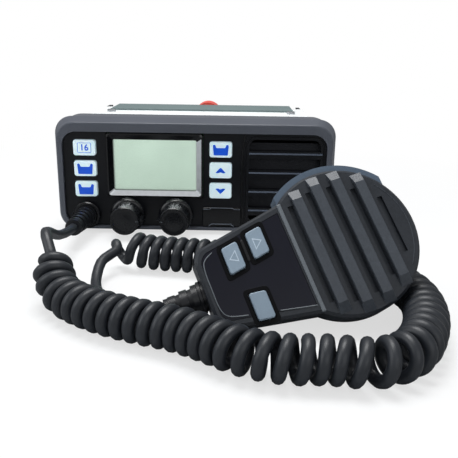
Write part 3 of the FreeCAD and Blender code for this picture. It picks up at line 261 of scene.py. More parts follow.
class CameraSettings(bpy.types.PropertyGroup):
    """Where the camera stands and how it looks."""

    place: FloatVectorProperty(
        name="Place", description="Camera position in metres", subtype="TRANSLATION",
        default=(0.02214, -0.39497, 0.10649))
    pitch: FloatProperty(
        name="Pitch", description="Angle below the horizon", subtype="ANGLE",
        default=math.radians(16.86))
    yaw: FloatProperty(
        name="Yaw", description="Turn towards the left", subtype="ANGLE",
        default=math.radians(0.42))
    roll: FloatProperty(
        name="Roll", description="Turn about the line of sight", subtype="ANGLE",
        default=math.radians(0.83))
    lens: FloatProperty(
        name="Lens", description="Focal length in millimetres on a 36 mm sensor", default=49.1)


class LightSettings(bpy.types.PropertyGroup):
    """Strengths of the studio lamps."""

    top: FloatProperty(name="Top", description="Power of the overhead softbox in watts",
                       default=5.2)
    left: FloatProperty(name="Left", description="Power of the left softbox in watts",
                        default=2.4)
    front: FloatProperty(name="Front", description="Power of the front fill in watts",
                         default=1.1)
    world: FloatProperty(name="World", description="Strength of the world's light on the object",
                         default=0.26)
    floor_glow: FloatProperty(
        name="Floor glow", description="Share of plain white that the camera sees on the floor",
        default=0.66, min=0.0, max=1.0)


class CordSettings(bpy.types.PropertyGroup):
    """Sizes of the curly cord."""

    wire: measure("Wire", "Outside diameter of the wire", 4.7)
    coil: measure("Coil", "Outside diameter of the coil", 17.1)
    pitch: measure("Pitch", "Least advance of a turn", 5.3)
    gap: measure("Gap", "Least gap between turns", 0.5)
    lead_in: measure("Lead-in", "Length over which the coil opens", 9.0)
    steps: IntProperty(name="Steps", description="Spline points in each turn", default=20,
                       min=12, max=48)
    sides: IntProperty(name="Roundness", description="Bevel resolution of the wire", default=4,
                       min=2, max=12)


class TrimSettings(bpy.types.PropertyGroup):
    """Sizes of the printed and moulded details."""

    print_height: measure("Print", "Thickness of printed shapes", 0.05)
    knob_segments: IntProperty(name="Knob segments", description="Segments round each knob",
                               default=72, min=24, max=128)
    rib_width: measure("Rib width", "Width of the microphone's ribs", 5.2)
    rib_height: measure("Rib height", "Height of the microphone's ribs", 2.0)


SETTINGS = {
    "radio_finishes": FinishSettings,
    "radio_camera": CameraSettings,
    "radio_lights": LightSettings,
    "radio_cord": CordSettings,
    "radio_trim": TrimSettings,
}


class Wire:
    """An output socket that takes part in arithmetic."""

    def __init__(self, graph, socket):
        self.graph = graph
        self.socket = socket

    def maths(self, operation, *others):
        return self.graph.maths(operation, self, *others)

    def __add__(self, other):
        return self.maths("ADD", other)

    def __radd__(self, other):
        return self.graph.maths("ADD", other, self)

    def __sub__(self, other):
        return self.maths("SUBTRACT", other)

    def __rsub__(self, other):
        return self.graph.maths("SUBTRACT", other, self)

    def __mul__(self, other):
        return self.maths("MULTIPLY", other)

    def __rmul__(self, other):
        return self.graph.maths("MULTIPLY", other, self)

    def above(self, edge):
        return self.maths("GREATER_THAN", edge)

    def clipped(self):
        return self.graph.add("Clamp", {}, {"Value": self})


class Graph:
    """A material's or the world's node tree."""

    def __init__(self, tree):
        self.tree = tree
        tree.nodes.clear()

    def add(self, kind, settings=None, inputs=None, output=0):
        """Make a node, set its settings first and then its inputs, and return an output.

        A tuple of outputs gives a list of them.
        """
        node = self.tree.nodes.new("ShaderNode" + kind)
        for name, value in (settings or {}).items():
            setattr(node, name, value)
        for name, value in (inputs or {}).items():
            if isinstance(value, Wire):
                self.tree.links.new(value.socket, node.inputs[name])
            else:
                node.inputs[name].default_value = value
        if isinstance(output, tuple):
            return [Wire(self, node.outputs[name]) for name in output]
        return Wire(self, node.outputs[output]) if node.outputs else None

    def maths(self, operation, *values):
        return self.add("Math", {"operation": operation}, dict(enumerate(values)))

    def places(self):
        """Places on the object, in metres."""
        return self.add("TexCoord", output="Object")

    def across_and_up(self):
        """Places across the radio's front and up it, in metres."""
        return self.add("SeparateXYZ", {}, {"Vector": self.places()}, ("X", "Z"))

    def ray(self, kind):
        """One where the light path is a camera, glossy or transmission ray."""
        return self.add("LightPath", output=f"Is {kind} Ray")

    def noise(self, scale, detail=3.0, roughness=0.5, vector=None):
        return self.add("TexNoise", {},
                        {"Vector": vector or self.places(), "Scale": scale, "Detail": detail,
                         "Roughness": roughness})

    def mix(self, factor, one, other):
        """Mix two colours."""
        return self.add("Mix", {"data_type": "RGBA"}, {0: factor, 6: one, 7: other}, 2)

    def blend(self, factor, one, other):
        """Mix two shaders."""
        return self.add("MixShader", {}, {0: factor, 1: one, 2: other})

    def bump(self, height, distance):
        return self.add("Bump", {}, {"Height": height, "Distance": distance,
                                               "Strength": 1.0})

    def surface(self, colours, roughness, **inputs):
        """Finish with a Principled surface."""
        named = {name.replace("_", " "): value for name, value in inputs.items()}
        named.update({"Base Color": colours, "Roughness": roughness})
        self.finish(self.add("BsdfPrincipled", {}, named))

    def finish(self, shader):
        self.add("OutputMaterial", {}, {"Surface": shader})


def new_material(name):
    """Make an empty material and return its graph."""
    material = bpy.data.materials.new(PREFIX + name)
    material.use_nodes = True
    return Graph(material.node_tree)


def palette(name):
    """Find a material of this scene by name."""
    material = bpy.data.materials.get(PREFIX + name)
    if material is None:
        raise RuntimeError(f"material {name} isn't made yet")
    return material


def shade(colour, amount):
    """A lighter or darker version of a colour."""
    return tuple(min(1.0, value * amount) for value in colour[:3]) + (1.0,)


def moulded(name, colour, rough, grain=0.00004, scale=2200.0, speckle=0.5, **more):
    """Injection-moulded plastic: fine spark-eroded grain, faint patches and handling marks."""
    graph = new_material(name)
    fine = graph.noise(scale, 2.0, 0.6)
    coarse = graph.noise(scale / 3.1, 3.0, 0.55)
    broad = graph.noise(38.0, 4.0, 0.6)
    pits = fine * 0.65 + coarse * 0.35
    tone = ((broad - 0.5) * 0.24 + (pits - 0.5) * speckle + 0.5).clipped()
    colours = graph.mix(tone, shade(colour, 0.72), shade(colour, 1.3))
    roughness = (rough + (broad - 0.5) * 0.16 + (coarse - 0.5) * 0.1).clipped()
    finish = {"Specular_IOR_Level": 0.35, **more}
    graph.surface(colours, roughness, Normal=graph.bump(pits, grain), **finish)


def glossy(name, colour, rough, **more):
    """Smooth moulded or printed surface with faint smears and dust."""
    graph = new_material(name)
    smear = graph.noise(60.0, 5.0, 0.65)
    dust = graph.noise(1500.0, 2.0, 0.5)
    specks = dust.above(0.71)
    colours = graph.mix(specks * 0.25, graph.mix(smear, shade(colour, 0.85), shade(colour, 1.15)),
                        shade(colour, 2.2))
    roughness = (rough + smear * 0.12 + specks * 0.3).clipped()
    graph.surface(colours, roughness,
                  Normal=graph.bump(graph.noise(300.0, 2.0), 0.00001), **more)


def rubbery(name, colour, rough, grain=0.00003):
    """Matte rubber or soft vinyl: even, with dusty patches and a faint sheen."""
    graph = new_material(name)
    fine = graph.noise(1900.0, 3.0, 0.6)
    dusty = graph.noise(90.0, 4.0, 0.6)
    colours = graph.mix((dusty * 0.55 + fine * 0.35).clipped(), shade(colour, 0.8),
                        shade(colour, 1.28))
    roughness = (rough + (dusty - 0.5) * 0.2).clipped()
    graph.surface(colours, roughness, Normal=graph.bump(fine, grain))


def metal(name, colour, rough):
    """Bare or plated metal with directional scratches."""
    graph = new_material(name)
    stretched = graph.add("Mapping", {},
                          {"Vector": graph.places(), "Scale": (1.0, 30.0, 1.0)})
    lines = graph.noise(260.0, 4.0, 0.7, stretched)
    spots = graph.noise(420.0, 3.0, 0.6)
    colours = graph.mix(spots, shade(colour, 0.85), shade(colour, 1.12))
    graph.surface(colours, (rough + (lines - 0.5) * 0.25).clipped(), Metallic=1.0,
                  Normal=graph.bump(lines, 0.00001))


def painted(name, colour, rough):
    """Powder-coated metal: orange peel and small chips of tone."""
    graph = new_material(name)
    peel = graph.noise(700.0, 2.0, 0.5)
    broad = graph.noise(30.0, 4.0, 0.6)
    colours = graph.mix(broad, shade(colour, 0.9), shade(colour, 1.08))
    graph.surface(colours, (rough + (peel - 0.5) * 0.15).clipped(),
                  Normal=graph.bump(peel, 0.00003))


def key_with_painted_glow():
    """Silicone key top with a painted glow from its emission, its tone varying at random."""
    graph = new_material("key_white")
    soft = graph.noise(150.0, 3.0, 0.5)
    fine = graph.noise(1800.0, 2.0, 0.5)
    colours = graph.mix(soft, srgb(206, 238, 250), srgb(240, 252, 255))
    # The emission is a painted glow: the key is no lamp
    graph.surface(colours, 0.38 + fine * 0.12, Emission_Color=colours,
                  Emission_Strength=0.22, Normal=graph.bump(fine, 0.000012),
                  Subsurface_Weight=0.1, Subsurface_Scale=0.0006)


def crystal():
    """Reflective liquid crystal sheet: pale grey-green with faint rows of pixels; its emission is a
    painted glow, and it is lighter towards its top as a painted sheen.
    """
    graph = new_material("lcd")
    across, up = graph.across_and_up()
    pixels = (across * 9000.0).maths("SINE") * (up * 9000.0).maths("SINE") * 0.05
    cloud = graph.noise(45.0, 4.0, 0.6)
    # Lighter towards the top: a painted sheen
    shine = ((up - 0.024) * 28.0).clipped() * 0.35
    tone = (cloud * 0.6 + pixels + shine).clipped()
    colours = graph.mix(tone, srgb(188, 198, 191), srgb(224, 232, 226))
    # The emission is a painted glow: the sheet is no lamp
    graph.surface(colours, 0.35 + cloud * 0.2, Emission_Color=colours,
                  Emission_Strength=0.42)


def window_glass():
    """Thin clear window with smears."""
    graph = new_material("glass")
    smear = graph.noise(80.0, 5.0, 0.7)
    clear = graph.add("BsdfTransparent", {}, {"Color": (0.97, 1.0, 0.98, 1.0)})
    shine = graph.add("BsdfPrincipled", {},
                      {"Base Color": (0.75, 0.8, 0.78, 1.0), "Alpha": 1.0,
                       "Roughness": (0.02 + smear * 0.1)})
    edge = graph.add("Fresnel", {}, {"IOR": 1.5})
    graph.finish(graph.blend((edge * 1.1 + smear * 0.03).clipped(), clear, shine))


def board_material():
    """Green circuit board with tracks and pads."""
    graph = new_material("board_green")
    cells = graph.add("TexVoronoi", {"distance": "MANHATTAN"},
                      {"Vector": graph.places(), "Scale": 320.0})
    tracks = cells.above(0.42)
    fine = graph.noise(900.0)
    colours = graph.mix(tracks, srgb(18, 84, 48), srgb(40, 122, 70))
    graph.surface(colours, 0.3 + fine * 0.2, Normal=graph.bump(tracks, 0.00003))


def mesh_material():
    """Dark speaker cloth: fine weave."""
    graph = new_material("speaker_cloth")
    across, up = graph.across_and_up()
    warp = (across * 5200.0).maths("SINE")
    weft = (up * 5200.0).maths("SINE")
    weave = (warp * weft * 0.5 + 0.5).clipped()
    graph.surface(graph.mix(weave, srgb(7, 9, 14), srgb(26, 30, 40)), 0.7,
                  Normal=graph.bump(weave, 0.0001))


def make_materials(tints):
    """Make every material of the object."""
    moulded("frame_grey", tints.frame, 0.38, 0.00003, 2400.0)
    moulded("panel_black", tints.panel, 0.36, 0.00003)
    glossy("gloss_black", srgb(7, 8, 12), 0.12)
    moulded("knob_black", tints.knobs, 0.27, 0.00002, Specular_IOR_Level=0.5)
    key_with_painted_glow()
    glossy("key_blue", tints.signs, 0.3)
    # Near-black rings round the microphone's keys: painted shade in the gaps round them
    glossy("key_well", srgb(3, 4, 7), 0.4, Specular_IOR_Level=0.12)
    window_glass()
    crystal()
    metal("chrome_edge", srgb(232, 236, 240), 0.4)
    # Pale strips on the louvres' top edges: a painted highlight
    moulded("slat_light", srgb(88, 97, 112), 0.3)
    mesh_material()
    board_material()
    metal("steel", srgb(172, 174, 178), 0.32)
    painted("cast_grey", srgb(46, 49, 54), 0.5)
    # Pale teal grey rear plate: a painted reflection of the backdrop
    painted("plate_teal", tints.rear, 0.6)
    # Near-white top cover: a painted reflection of the backdrop
    painted("cover_pale", tints.cover, 0.55)
    metal("brass", srgb(214, 186, 120), 0.28)
    rubbery("cap_red", tints.cap, 0.42)
    rubbery("rubber_black", srgb(19, 21, 26), 0.38, 0.00004)
    rubbery("mat_grey", srgb(150, 155, 160), 0.5)
    rubbery("milky", srgb(232, 236, 236), 0.4)
    rubbery("cord", tints.cord, 0.44, 0.00002)
    moulded("mic_black", tints.mic_shell, 0.42, 0.00012, 1100.0, speckle=1.6)
    # Lighter copy of the shell's plastic: painted light on the raised ribs and badge line
    moulded("mic_rib", tints.mic_ribs, 0.36, 0.0001, 1100.0, speckle=1.3)
    moulded("mic_dark", srgb(15, 16, 20), 0.45, 0.00004, 1500.0)
    moulded("lever_grey", tints.lever, 0.4)
    glossy("mic_panel", srgb(9, 11, 26), 0.28, Specular_IOR_Level=0.3)
    rubbery("mic_key", tints.mic_keys, 0.4, 0.00002)
    rubbery("mic_key_line", srgb(186, 202, 216), 0.4)
    # Pale lines: painted highlights on the microphone's rims and neck, and the knobs' pointer marks
    moulded("edge_light", srgb(104, 110, 116), 0.3)
    moulded("label_line", srgb(104, 112, 124), 0.3)
    rubbery("paper", srgb(30, 30, 32), 0.8)
    painted("magnet", srgb(110, 110, 114), 0.4)


NODE_FINISH = {
    "frame_grey": ["front_frame"],
    "panel_black": ["face_plate", "speaker_grille"],
    "gloss_black": ["lcd_bezel", "label_plate"],
    "knob_black": ["volume_knob", "squelch_knob", "boot_lock_ring"],
    "key_white": ["key_16", "key_channel", "key_power", "key_scan", "key_up", "key_down"],
    "mat_grey": ["keypad_mat_left", "keypad_mat_right", "mic_keypad_mat"],
    "glass": ["lcd_window"],
    "lcd": ["lcd_panel", "lcd_polariser"],
    "milky": ["backlight_diffuser"],
    "board_green": ["front_board", "main_board", "mic_board"],
    "steel": ["volume_shaft", "squelch_shaft", "volume_pot", "squelch_pot", "chassis_screws",
              "board_screws", "board_posts", "board_standoffs", "shield_can", "mic_capsule"],
    "speaker_cloth": ["speaker_mesh"],
    "cast_grey": ["chassis"],
    "plate_teal": ["rear_plate"],
    "cover_pale": ["top_cover"],
    "brass": ["antenna_socket", "speaker_jack"],
    "cap_red": ["antenna_cap"],
    "rubber_black": ["radio_boot", "mic_boot", "panel_gasket", "power_gland"],
    "mic_black": ["mic_front_shell"],
    "mic_dark": ["mic_back_shell", "hanger_stud"],
    "lever_grey": ["ptt_lever"],
    "mic_panel": ["mic_face_panel"],
    "mic_key": ["mic_down_key", "mic_up_key", "mic_square_key"],
    "paper": ["speaker_cone"],
    "magnet": ["speaker_frame", "power_module"],
}


def settle(piece, body):
    """Give a piece its body."""
    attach(piece, body)
    return piece


def add_object(name, data):
    """Put an object with the given data in the scene."""
    piece = bpy.data.objects.new(name, data)
    bpy.context.collection.objects.link(piece)
    return piece


def add_line(name, places, resolution, thick=0.0, sides=0, smooth=True):
    """A curve object led by places in metres, smoothed or with its corners kept."""
    curve = bpy.data.curves.new(name, "CURVE")
    curve.dimensions = "3D"
    curve.resolution_u = resolution
    curve.bevel_depth = thick / 2
    curve.bevel_resolution = sides
    curve.use_fill_caps = thick > 0
    curve.twist_mode = "MINIMUM"
    spline = curve.splines.new("NURBS" if smooth else "POLY")
    spline.points.add(len(places) - 1)
    for point, place in zip(spline.points, places):
        point.co = (*place, 1.0)
    if smooth:
        spline.order_u = 3
        spline.use_endpoint_u = True
    return add_object(name, curve)


def add_mesh(name, points, faces, material, body, slot, smooth=None):
    """Make a mesh piece from places in millimetres."""
    mesh = bpy.data.meshes.new(name)
    mesh.from_pydata([Vector(point) * MM for point in points], [], faces)
    mesh.materials.append(palette(material))
    mesh.validate()
    if smooth is not None:
        mesh.polygons.foreach_set("use_smooth", [True] * len(mesh.polygons))
        mesh.set_sharp_from_angle(angle=math.radians(smooth))
    mesh.update()
    return settle(add_object(name, mesh), body)


def soften(piece, width, segments=2):
    """Round a piece's edges."""
    bevel = piece.modifiers.new("rounding", "BEVEL")
    bevel.width = width * MM
    bevel.segments = segments
    bevel.limit_method = "ANGLE"
    bevel.angle_limit = math.radians(30)


def extruded(outline, low, high, to_world):
    """Points and faces of a prism over a flat outline."""
    count = len(outline)
    points = [to_world(x, y, low) for x, y in outline]
    points += [to_world(x, y, high) for x, y in outline]
    faces = [tuple(reversed(range(count))), tuple(range(count, 2 * count))]
    faces += [(index, (index + 1) % count, (index + 1) % count + count, index + count)
              for index in range(count)]
    return points, faces


def ring_prism(outer, inner, low, high, to_world):
    """Points and faces of a flat ring between two outlines of the same length."""
    count = len(outer)
    points = []
    for level in (low, high):
        points += [to_world(x, y, level) for x, y in outer]
        points += [to_world(x, y, level) for x, y in inner]
    faces = []
    for index in range(count):
        after = (index + 1) % count
        faces.append((index, after, after + count, index + count))
        faces.append((index + 2 * count, index + 3 * count, after + 3 * count, after + 2 * count))
        faces.append((index, index + 2 * count, after + 2 * count, after))
        faces.append((index + count, after + count, after + 3 * count, index + 3 * count))
    return points, faces


def rounded(points, radius, steps=4):
    """Round an outline's corners."""
    outline = []
    count = len(points)
    for index in range(count):
        here = Vector(points[index])
        before = Vector(points[index - 1]) - here
        after = Vector(points[(index + 1) % count]) - here
        reach = min(radius, before.length * 0.48, after.length * 0.48)
        one, two = here + before.normalized() * reach, here + after.normalized() * reach
        for step in range(steps + 1):
            share = step / steps
            outline.append(tuple(one * (1 - share) ** 2 + here * 2 * share * (1 - share)
                                 + two * share ** 2))
    return outline


def slanted(x, y, wide, tall, slope):
    """Corners of an upright shape whose lower and upper sides rise with a slope."""
    rise = slope * wide / 2
    return [(x - wide / 2, y - tall / 2 - rise), (x + wide / 2, y - tall / 2 + rise),
            (x + wide / 2, y + tall / 2 + rise), (x - wide / 2, y + tall / 2 - rise)]


def framed(x, y, outline, steps=4, slope=0):
    """An outline with round corners about a middle, from its width, height and corner radius."""
    wide, tall, radius = outline
    return rounded(slanted(x, y, wide, tall, slope), radius, steps)


def on_keys(x, z, out):
    """A place on the fronts of the radio's keys: across, up, and height out of them."""
    return (x, KEY_FRONT_Y - out, z)


def around(x, z):
    """Places around a point of the radio's front: across, up, and distance forwards."""
    return lambda across, up, ahead: (x + across, -ahead, z + up)


def lathe(profile, segments, to_world, closed=True):
    """Points and faces of a turned shape; the profile gives radius and height."""
    points, faces = [], []
    for radius, height in profile:
        for index in range(segments):
            angle = 2 * math.pi * index / segments
            points.append(to_world(radius * math.cos(angle), radius * math.sin(angle), height))
    for level in range(len(profile) - 1):
        for index in range(segments):
            after = (index + 1) % segments
            one, two = level * segments, (level + 1) * segments
            faces.append((one + index, one + after, two + after, two + index))
    if closed:
        last = (len(profile) - 1) * segments
        faces.append(tuple(range(last, last + segments)))
    return points, faces


def mic_axes():
    """Axes of the microphone's own frame, as columns."""
    roll = math.radians(MIC_ROLL)
    spin = (Matrix.Rotation(math.radians(MIC_TURN), 3, "Z")
            @ Matrix.Rotation(-math.radians(MIC_LEAN), 3, "X"))
    return (spin @ Vector((math.cos(roll), 0, math.sin(roll))),
            spin @ Vector((-math.sin(roll), 0, math.cos(roll))), spin @ Vector((0, -1, 0)))


def on_mic(x, y, z):
    """A place on the microphone in the model's frame, in millimetres."""
    across, up, out = mic_axes()
    return tuple(MIC_CENTRE + across * x + up * y + out * z)


def line_piece(name, points, thick, material, body, smooth=True):
    """A thin raised line through places in millimetres."""
    places = [Vector(place) * MM for place in points]
    piece = add_line(name, places, resolution=6, thick=thick * MM, sides=2, smooth=smooth)
    piece.data.materials.append(palette(material))
    return settle(piece, body)


class MARINE_OT_finishes(bpy.types.Operator):
    """Make the materials and give them to the packed solids."""

    bl_idname = "marine.finishes"
    bl_label = "Finishes"

    def execute(self, context):
        make_materials(context.scene.radio_finishes)
        for finish, names in NODE_FINISH.items():
            for name in names:
                materials = frame["nodes"][name].data.materials
                materials.clear()
                materials.append(palette(finish))
        return {"FINISHED"}


class MARINE_OT_camera(bpy.types.Operator):
    """Stand the camera where the photograph was taken."""

    bl_idname = "marine.camera"
    bl_label = "Camera"

    def execute(self, context):
        settings = context.scene.radio_camera
        down, turn, roll = settings.pitch, settings.yaw, settings.roll
        ahead = Vector((-math.sin(turn) * math.cos(down), math.cos(turn) * math.cos(down),
                        -math.sin(down)))
        right = ahead.cross(Vector((0, 0, 1))).normalized()
        upward = right.cross(ahead)
        across = right * math.cos(roll) + upward * math.sin(roll)
        upright = upward * math.cos(roll) - right * math.sin(roll)
        data = bpy.data.cameras.new("camera")
        data.sensor_width = 36.0
        data.lens = settings.lens
        data.clip_start = 0.01
        camera = add_object("camera", data)
        matrix = Matrix((across, upright, -ahead)).transposed().to_4x4()
        matrix.translation = settings.place
        camera.matrix_world = matrix
        context.scene.camera = camera
        return {"FINISHED"}


class MARINE_OT_stage(bpy.types.Operator):
    """Lay the pale floor and light the table softly."""

    bl_idname = "marine.stage"
    bl_label = "Floor and lights"

    def execute(self, context):
        settings = context.scene.radio_lights
        context.scene.view_settings.view_transform = "Standard"
        world = bpy.data.worlds.new("studio")
        world.use_nodes = True
        context.scene.world = world
        graph = Graph(world.node_tree)
        plain = (graph.ray("Camera") + graph.ray("Glossy") * 0.1
                 + graph.ray("Transmission")).clipped()
        strength = plain + (1 - plain) * settings.world
        shell = graph.add("Background", {}, {"Color": (1.0, 1.0, 1.0, 1.0),
                                                       "Strength": strength})
        graph.add("OutputWorld", {}, {"Surface": shell})

        mesh = bpy.data.meshes.new("floor")
        mesh.from_pydata([(x * FLOOR_REACH, y * FLOOR_REACH, 0) for x, y in
                          ((-1, -1), (1, -1), (1, 1), (-1, 1))], [], [(0, 1, 2, 3)])
        self.floor_material(settings.floor_glow)
        mesh.materials.append(palette("floor"))
        floor = add_object("floor", mesh)

        for name, (place, size, colour) in LAMPS.items():
            data = bpy.data.lights.new(name + "_box", "AREA")
            data.shape = "RECTANGLE"
            data.size, data.size_y = size
            data.energy = getattr(settings, name)
            data.color = colour
            lamp = add_object(name + "_box", data)
            lamp.location = place
            way = Vector(LAMP_TARGET) - Vector(place)
            lamp.rotation_euler = way.to_track_quat("-Z", "Y").to_euler()
        return {"FINISHED"}

    def floor_material(self, glow):
        """Pale dusty floor that fades to plain white away from the object; reflections mostly see a
        near-black sheet instead, a painted dark reflection.
        """
        graph = new_material("floor")
        dust = graph.noise(25.0, 4.0)
        pale = graph.mix(dust, srgb(240, 243, 245), srgb(247, 249, 250))
        matte = graph.add("BsdfDiffuse", {}, {"Color": pale})
        painted_dark_reflection = graph.add("BsdfDiffuse", {}, {"Color": (0.02, 0.02, 0.025, 1.0)})
        white = graph.add("Emission", {}, {"Color": (1, 1, 1, 1), "Strength": 1.0})
        away = graph.add("VectorMath", {"operation": "DISTANCE"},
                         {0: graph.places(), 1: FADE_MIDDLE}, "Value")
        fade = ((away - FADE_START) * FADE_RATE).clipped()
        share = glow + fade * (1.0 - glow)
        # Reflections see the floor mostly as the near-black sheet: a painted dark reflection
        matte = graph.blend(graph.ray("Glossy") * 0.7, matte, painted_dark_reflection)
        graph.finish(graph.blend(graph.ray("Camera") * share, matte, white))


def drawn_mesh(carrier):
    """The mesh that Blender draws for a curve object, which is then removed."""
    bpy.context.view_layer.update()
    mesh = bpy.data.meshes.new_from_object(
        carrier.evaluated_get(bpy.context.evaluated_depsgraph_get()))
    curve = carrier.data
    bpy.data.objects.remove(carrier)
    bpy.data.curves.remove(curve)
    return mesh


def route_points(control, resolution):
    """Points of the smooth line that Blender draws for control points, in metres."""
    mesh = drawn_mesh(add_line("route", control, resolution))
    points = [vertex.co.copy() for vertex in mesh.vertices]
    bpy.data.meshes.remove(mesh)
    return points


def bends(points):
    """Curvature at each point of a fine polyline."""
    last = len(points) - 1
    found = []
    for index, point in enumerate(points):
        low, high = max(index - BEND_REACH, 0), min(index + BEND_REACH, last)
        one = (point - points[low]) if index > low else (points[high] - point)
        two = (points[high] - point) if high > index else one
        if min(one.length, two.length) < TINY:
            found.append(0.0)
            continue
        found.append(one.angle(two) / ((one.length + two.length) / 2))
    return found


def helix(settings):
    """Wind the wire round the coil's centre line, left-handed."""
    height = settings.coil / 2 + COIL_CLEARANCE * MM
    line = route_points([(x * MM, y * MM, z * MM + height) for x, y, z in COIL_ROUTE],
                        LINE_STEPS)
    lengths = [0.0]
    for one, two in zip(line, line[1:]):
        lengths.append(lengths[-1] + (two - one).length)
    total = lengths[-1]
    radius = (settings.coil - settings.wire) / 2
    least = settings.wire + settings.gap
    curved = bends(line)
    phases = [0.0]
    for index in range(len(line) - 1):
        pitch = max(settings.pitch, least / (1 - min(radius * curved[index], SHARPEST)))
        edge = min(lengths[index], total - lengths[index])
        pitch += END_PITCH * MM * max(0.0, 1 - edge / settings.lead_in)
        phases.append(phases[-1] + (lengths[index + 1] - lengths[index]) / pitch)
    turns = math.floor(phases[-1])
    count = turns * settings.steps
    points = []
    spot = 0
    for index in range(count + 1):
        wanted = phases[-1] * index / count
        while spot < len(phases) - 2 and phases[spot + 1] < wanted:
            spot += 1
        share = min(1.0, (wanted - phases[spot]) / max(phases[spot + 1] - phases[spot], 1e-12))
        centre = line[spot].lerp(line[spot + 1], share)
        gone = lengths[spot] + (lengths[spot + 1] - lengths[spot]) * share
        edge = min(gone, total - gone) / settings.lead_in
        ease = 1.0 if edge > 1 else edge * edge * (3 - 2 * edge)
        near, far = max(spot - AHEAD_REACH, 0), min(spot + AHEAD_REACH, len(line) - 1)
        ahead = (line[far] - line[near]).normalized()
        side = Vector((0, 0, 1)).cross(ahead).normalized()
        upward = ahead.cross(side)
        angle = -2 * math.pi * turns * index / count
        spoke = side * math.cos(angle) + upward * math.sin(angle)
        points.append(centre + spoke * radius * ease)
    return points


class MARINE_OT_cord(bpy.types.Operator):
    """Run the cord from the radio's boot through its curls to the microphone's boot."""

    bl_idname = "marine.cord"
    bl_label = "Curly cord"

    def execute(self, context):
        settings = context.scene.radio_cord
        curls = helix(settings)
        start_way = (curls[1] - curls[0]).normalized()
        end_way = (curls[-1] - curls[-2]).normalized()
        head = curls[0] - start_way * settings.wire
        foot = curls[-1] + end_way * settings.wire
        mic_end = Vector(MIC_BOOT_END) * MM
        points = [Vector(BOOT_END) * MM]
        points += [Vector(place) * MM for place in RADIO_LEAD]
        points += [head - start_way * RUN_OUT * MM, head]
        points += [*curls, foot, foot + end_way * RUN_IN * MM]
        points += [Vector(place) * MM for place in MIC_LEAD]
        points += [mic_end + MIC_BOOT_WAY * BOOT_RUN * MM, mic_end]
        mesh = drawn_mesh(add_line("cord_line", points, resolution=2, thick=settings.wire,
                                   sides=settings.sides))
        mesh.materials.clear()
        mesh.materials.append(palette("cord"))
        mesh.polygons.foreach_set("use_smooth", [True] * len(mesh.polygons))
        mesh.update()
        cord = add_object("curly_cord", mesh)
        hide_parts("radio_lead", "curly_lead", "mic_lead")
        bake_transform(cord)
        length = sum((two - one).length for one, two in zip(points, points[1:]))
        route_points(points, 2)
        return {"FINISHED"}


class MARINE_OT_key_prints(bpy.types.Operator):
    """Print the plain signs on the radio's keys."""

    bl_idname = "marine.key_prints"
    bl_label = "Key signs"

    def execute(self, context):
        high = context.scene.radio_trim.print_height / MM
        for name, (x, z) in KEY_PLACES.items():
            if name == "key_16":
                self.number(name, x, z)
                outer, inner = framed(x, z, BORDER_OUTER), framed(x, z, BORDER_INNER)
                add_mesh(name + "_border", *ring_prism(outer, inner, PRINT_FOOT, high, on_keys),
                         "key_blue", name, "key_white")
                continue
            if name in ("key_up", "key_down"):
                way = 1 if name == "key_up" else -1
                outline = [(x + px, z + way * py) for px, py in ARROW][::way]
                outline = rounded(outline, ARROW_ROUND)
            else:
                outline = rounded([(x + px, z + py) for px, py in EAR_FIELD], EAR_ROUND)
            add_mesh(name + "_sign", *extruded(outline, PRINT_FOOT, high, on_keys), "key_blue",
                     name, "key_white")
        return {"FINISHED"}

    def number(self, body, x, z):
        """The generic number sixteen."""
        text = bpy.data.curves.new("key_number", "FONT")
        text.body = "16"
        text.size = 4.8 * MM
        text.extrude = 0.03 * MM
        text.offset = 0.1 * MM
        text.align_x = "CENTER"
        text.align_y = "CENTER"
        text.materials.append(palette("key_blue"))
        piece = add_object("key_number", text)
        piece.location = (x * MM, (KEY_FRONT_Y + PRINT_FOOT) * MM, z * MM)
        piece.rotation_euler = (math.radians(90), 0, 0)
        settle(piece, body)


class MARINE_OT_display(bpy.types.Operator):
    """Make the display's bezel with its sloped inner edges, bright metal on their lower and right
    parts as a painted highlight.
    """

    bl_idname = "marine.display"
    bl_label = "Display bezel"

    def execute(self, context):
        outlines = {name: framed(*BEZEL_MIDDLE, outline, steps=5)
                    for name, outline in BEZEL_OUTLINES.items()}
        count = len(outlines["outer"])
        points = [(x, y, z) for name, y in BEZEL_TURNS for x, z in outlines[name]]
        faces = []
        for level in range(len(BEZEL_TURNS)):
            one, two = level * count, (level + 1) % len(BEZEL_TURNS) * count
            for index in range(count):
                after = (index + 1) % count
                faces.append((one + index, two + index, two + after, one + after))
        bezel = add_mesh("display_bezel", points, faces, "gloss_black", RADIO, "gloss_black")
        bezel.data.materials.append(palette("chrome_edge"))
        # Only the lower and right parts of the slope get the bright metal: a painted highlight
        for polygon in bezel.data.polygons:
            middle = polygon.center / MM
            slope = polygon.index // count == BEZEL_SLOPE
            right = middle.x > SHINE_RIGHT_OF and middle.z < SHINE_UNDER
            if slope and (middle.z < SHINE_BELOW or right):
                polygon.material_index = 1
        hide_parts("lcd_bezel")
        return {"FINISHED"}


class MARINE_OT_knobs(bpy.types.Operator):
    """Add a skirt and a dished front to each knob."""

    bl_idname = "marine.knobs"
    bl_label = "Knobs"

    def execute(self, context):
        segments = context.scene.radio_trim.knob_segments
        for body, (x, way) in KNOBS.items():
            to_world = around(x, KNOB_LEVEL)
            add_mesh(body + "_skirt", *lathe(KNOB_SKIRT, segments, to_world, False), "knob_black",
                     body, "knob_black", smooth=35)
            add_mesh(body + "_front", *lathe(KNOB_FRONT, segments, to_world), "knob_black", body,
                     "knob_black", smooth=35)
            pointer = [to_world(way * across, up, ahead) for across, up, ahead in POINTER]
            add_mesh(body + "_pointer", pointer, [(0, 1, 2, 3)], "edge_light", body, "knob_black")
        return {"FINISHED"}


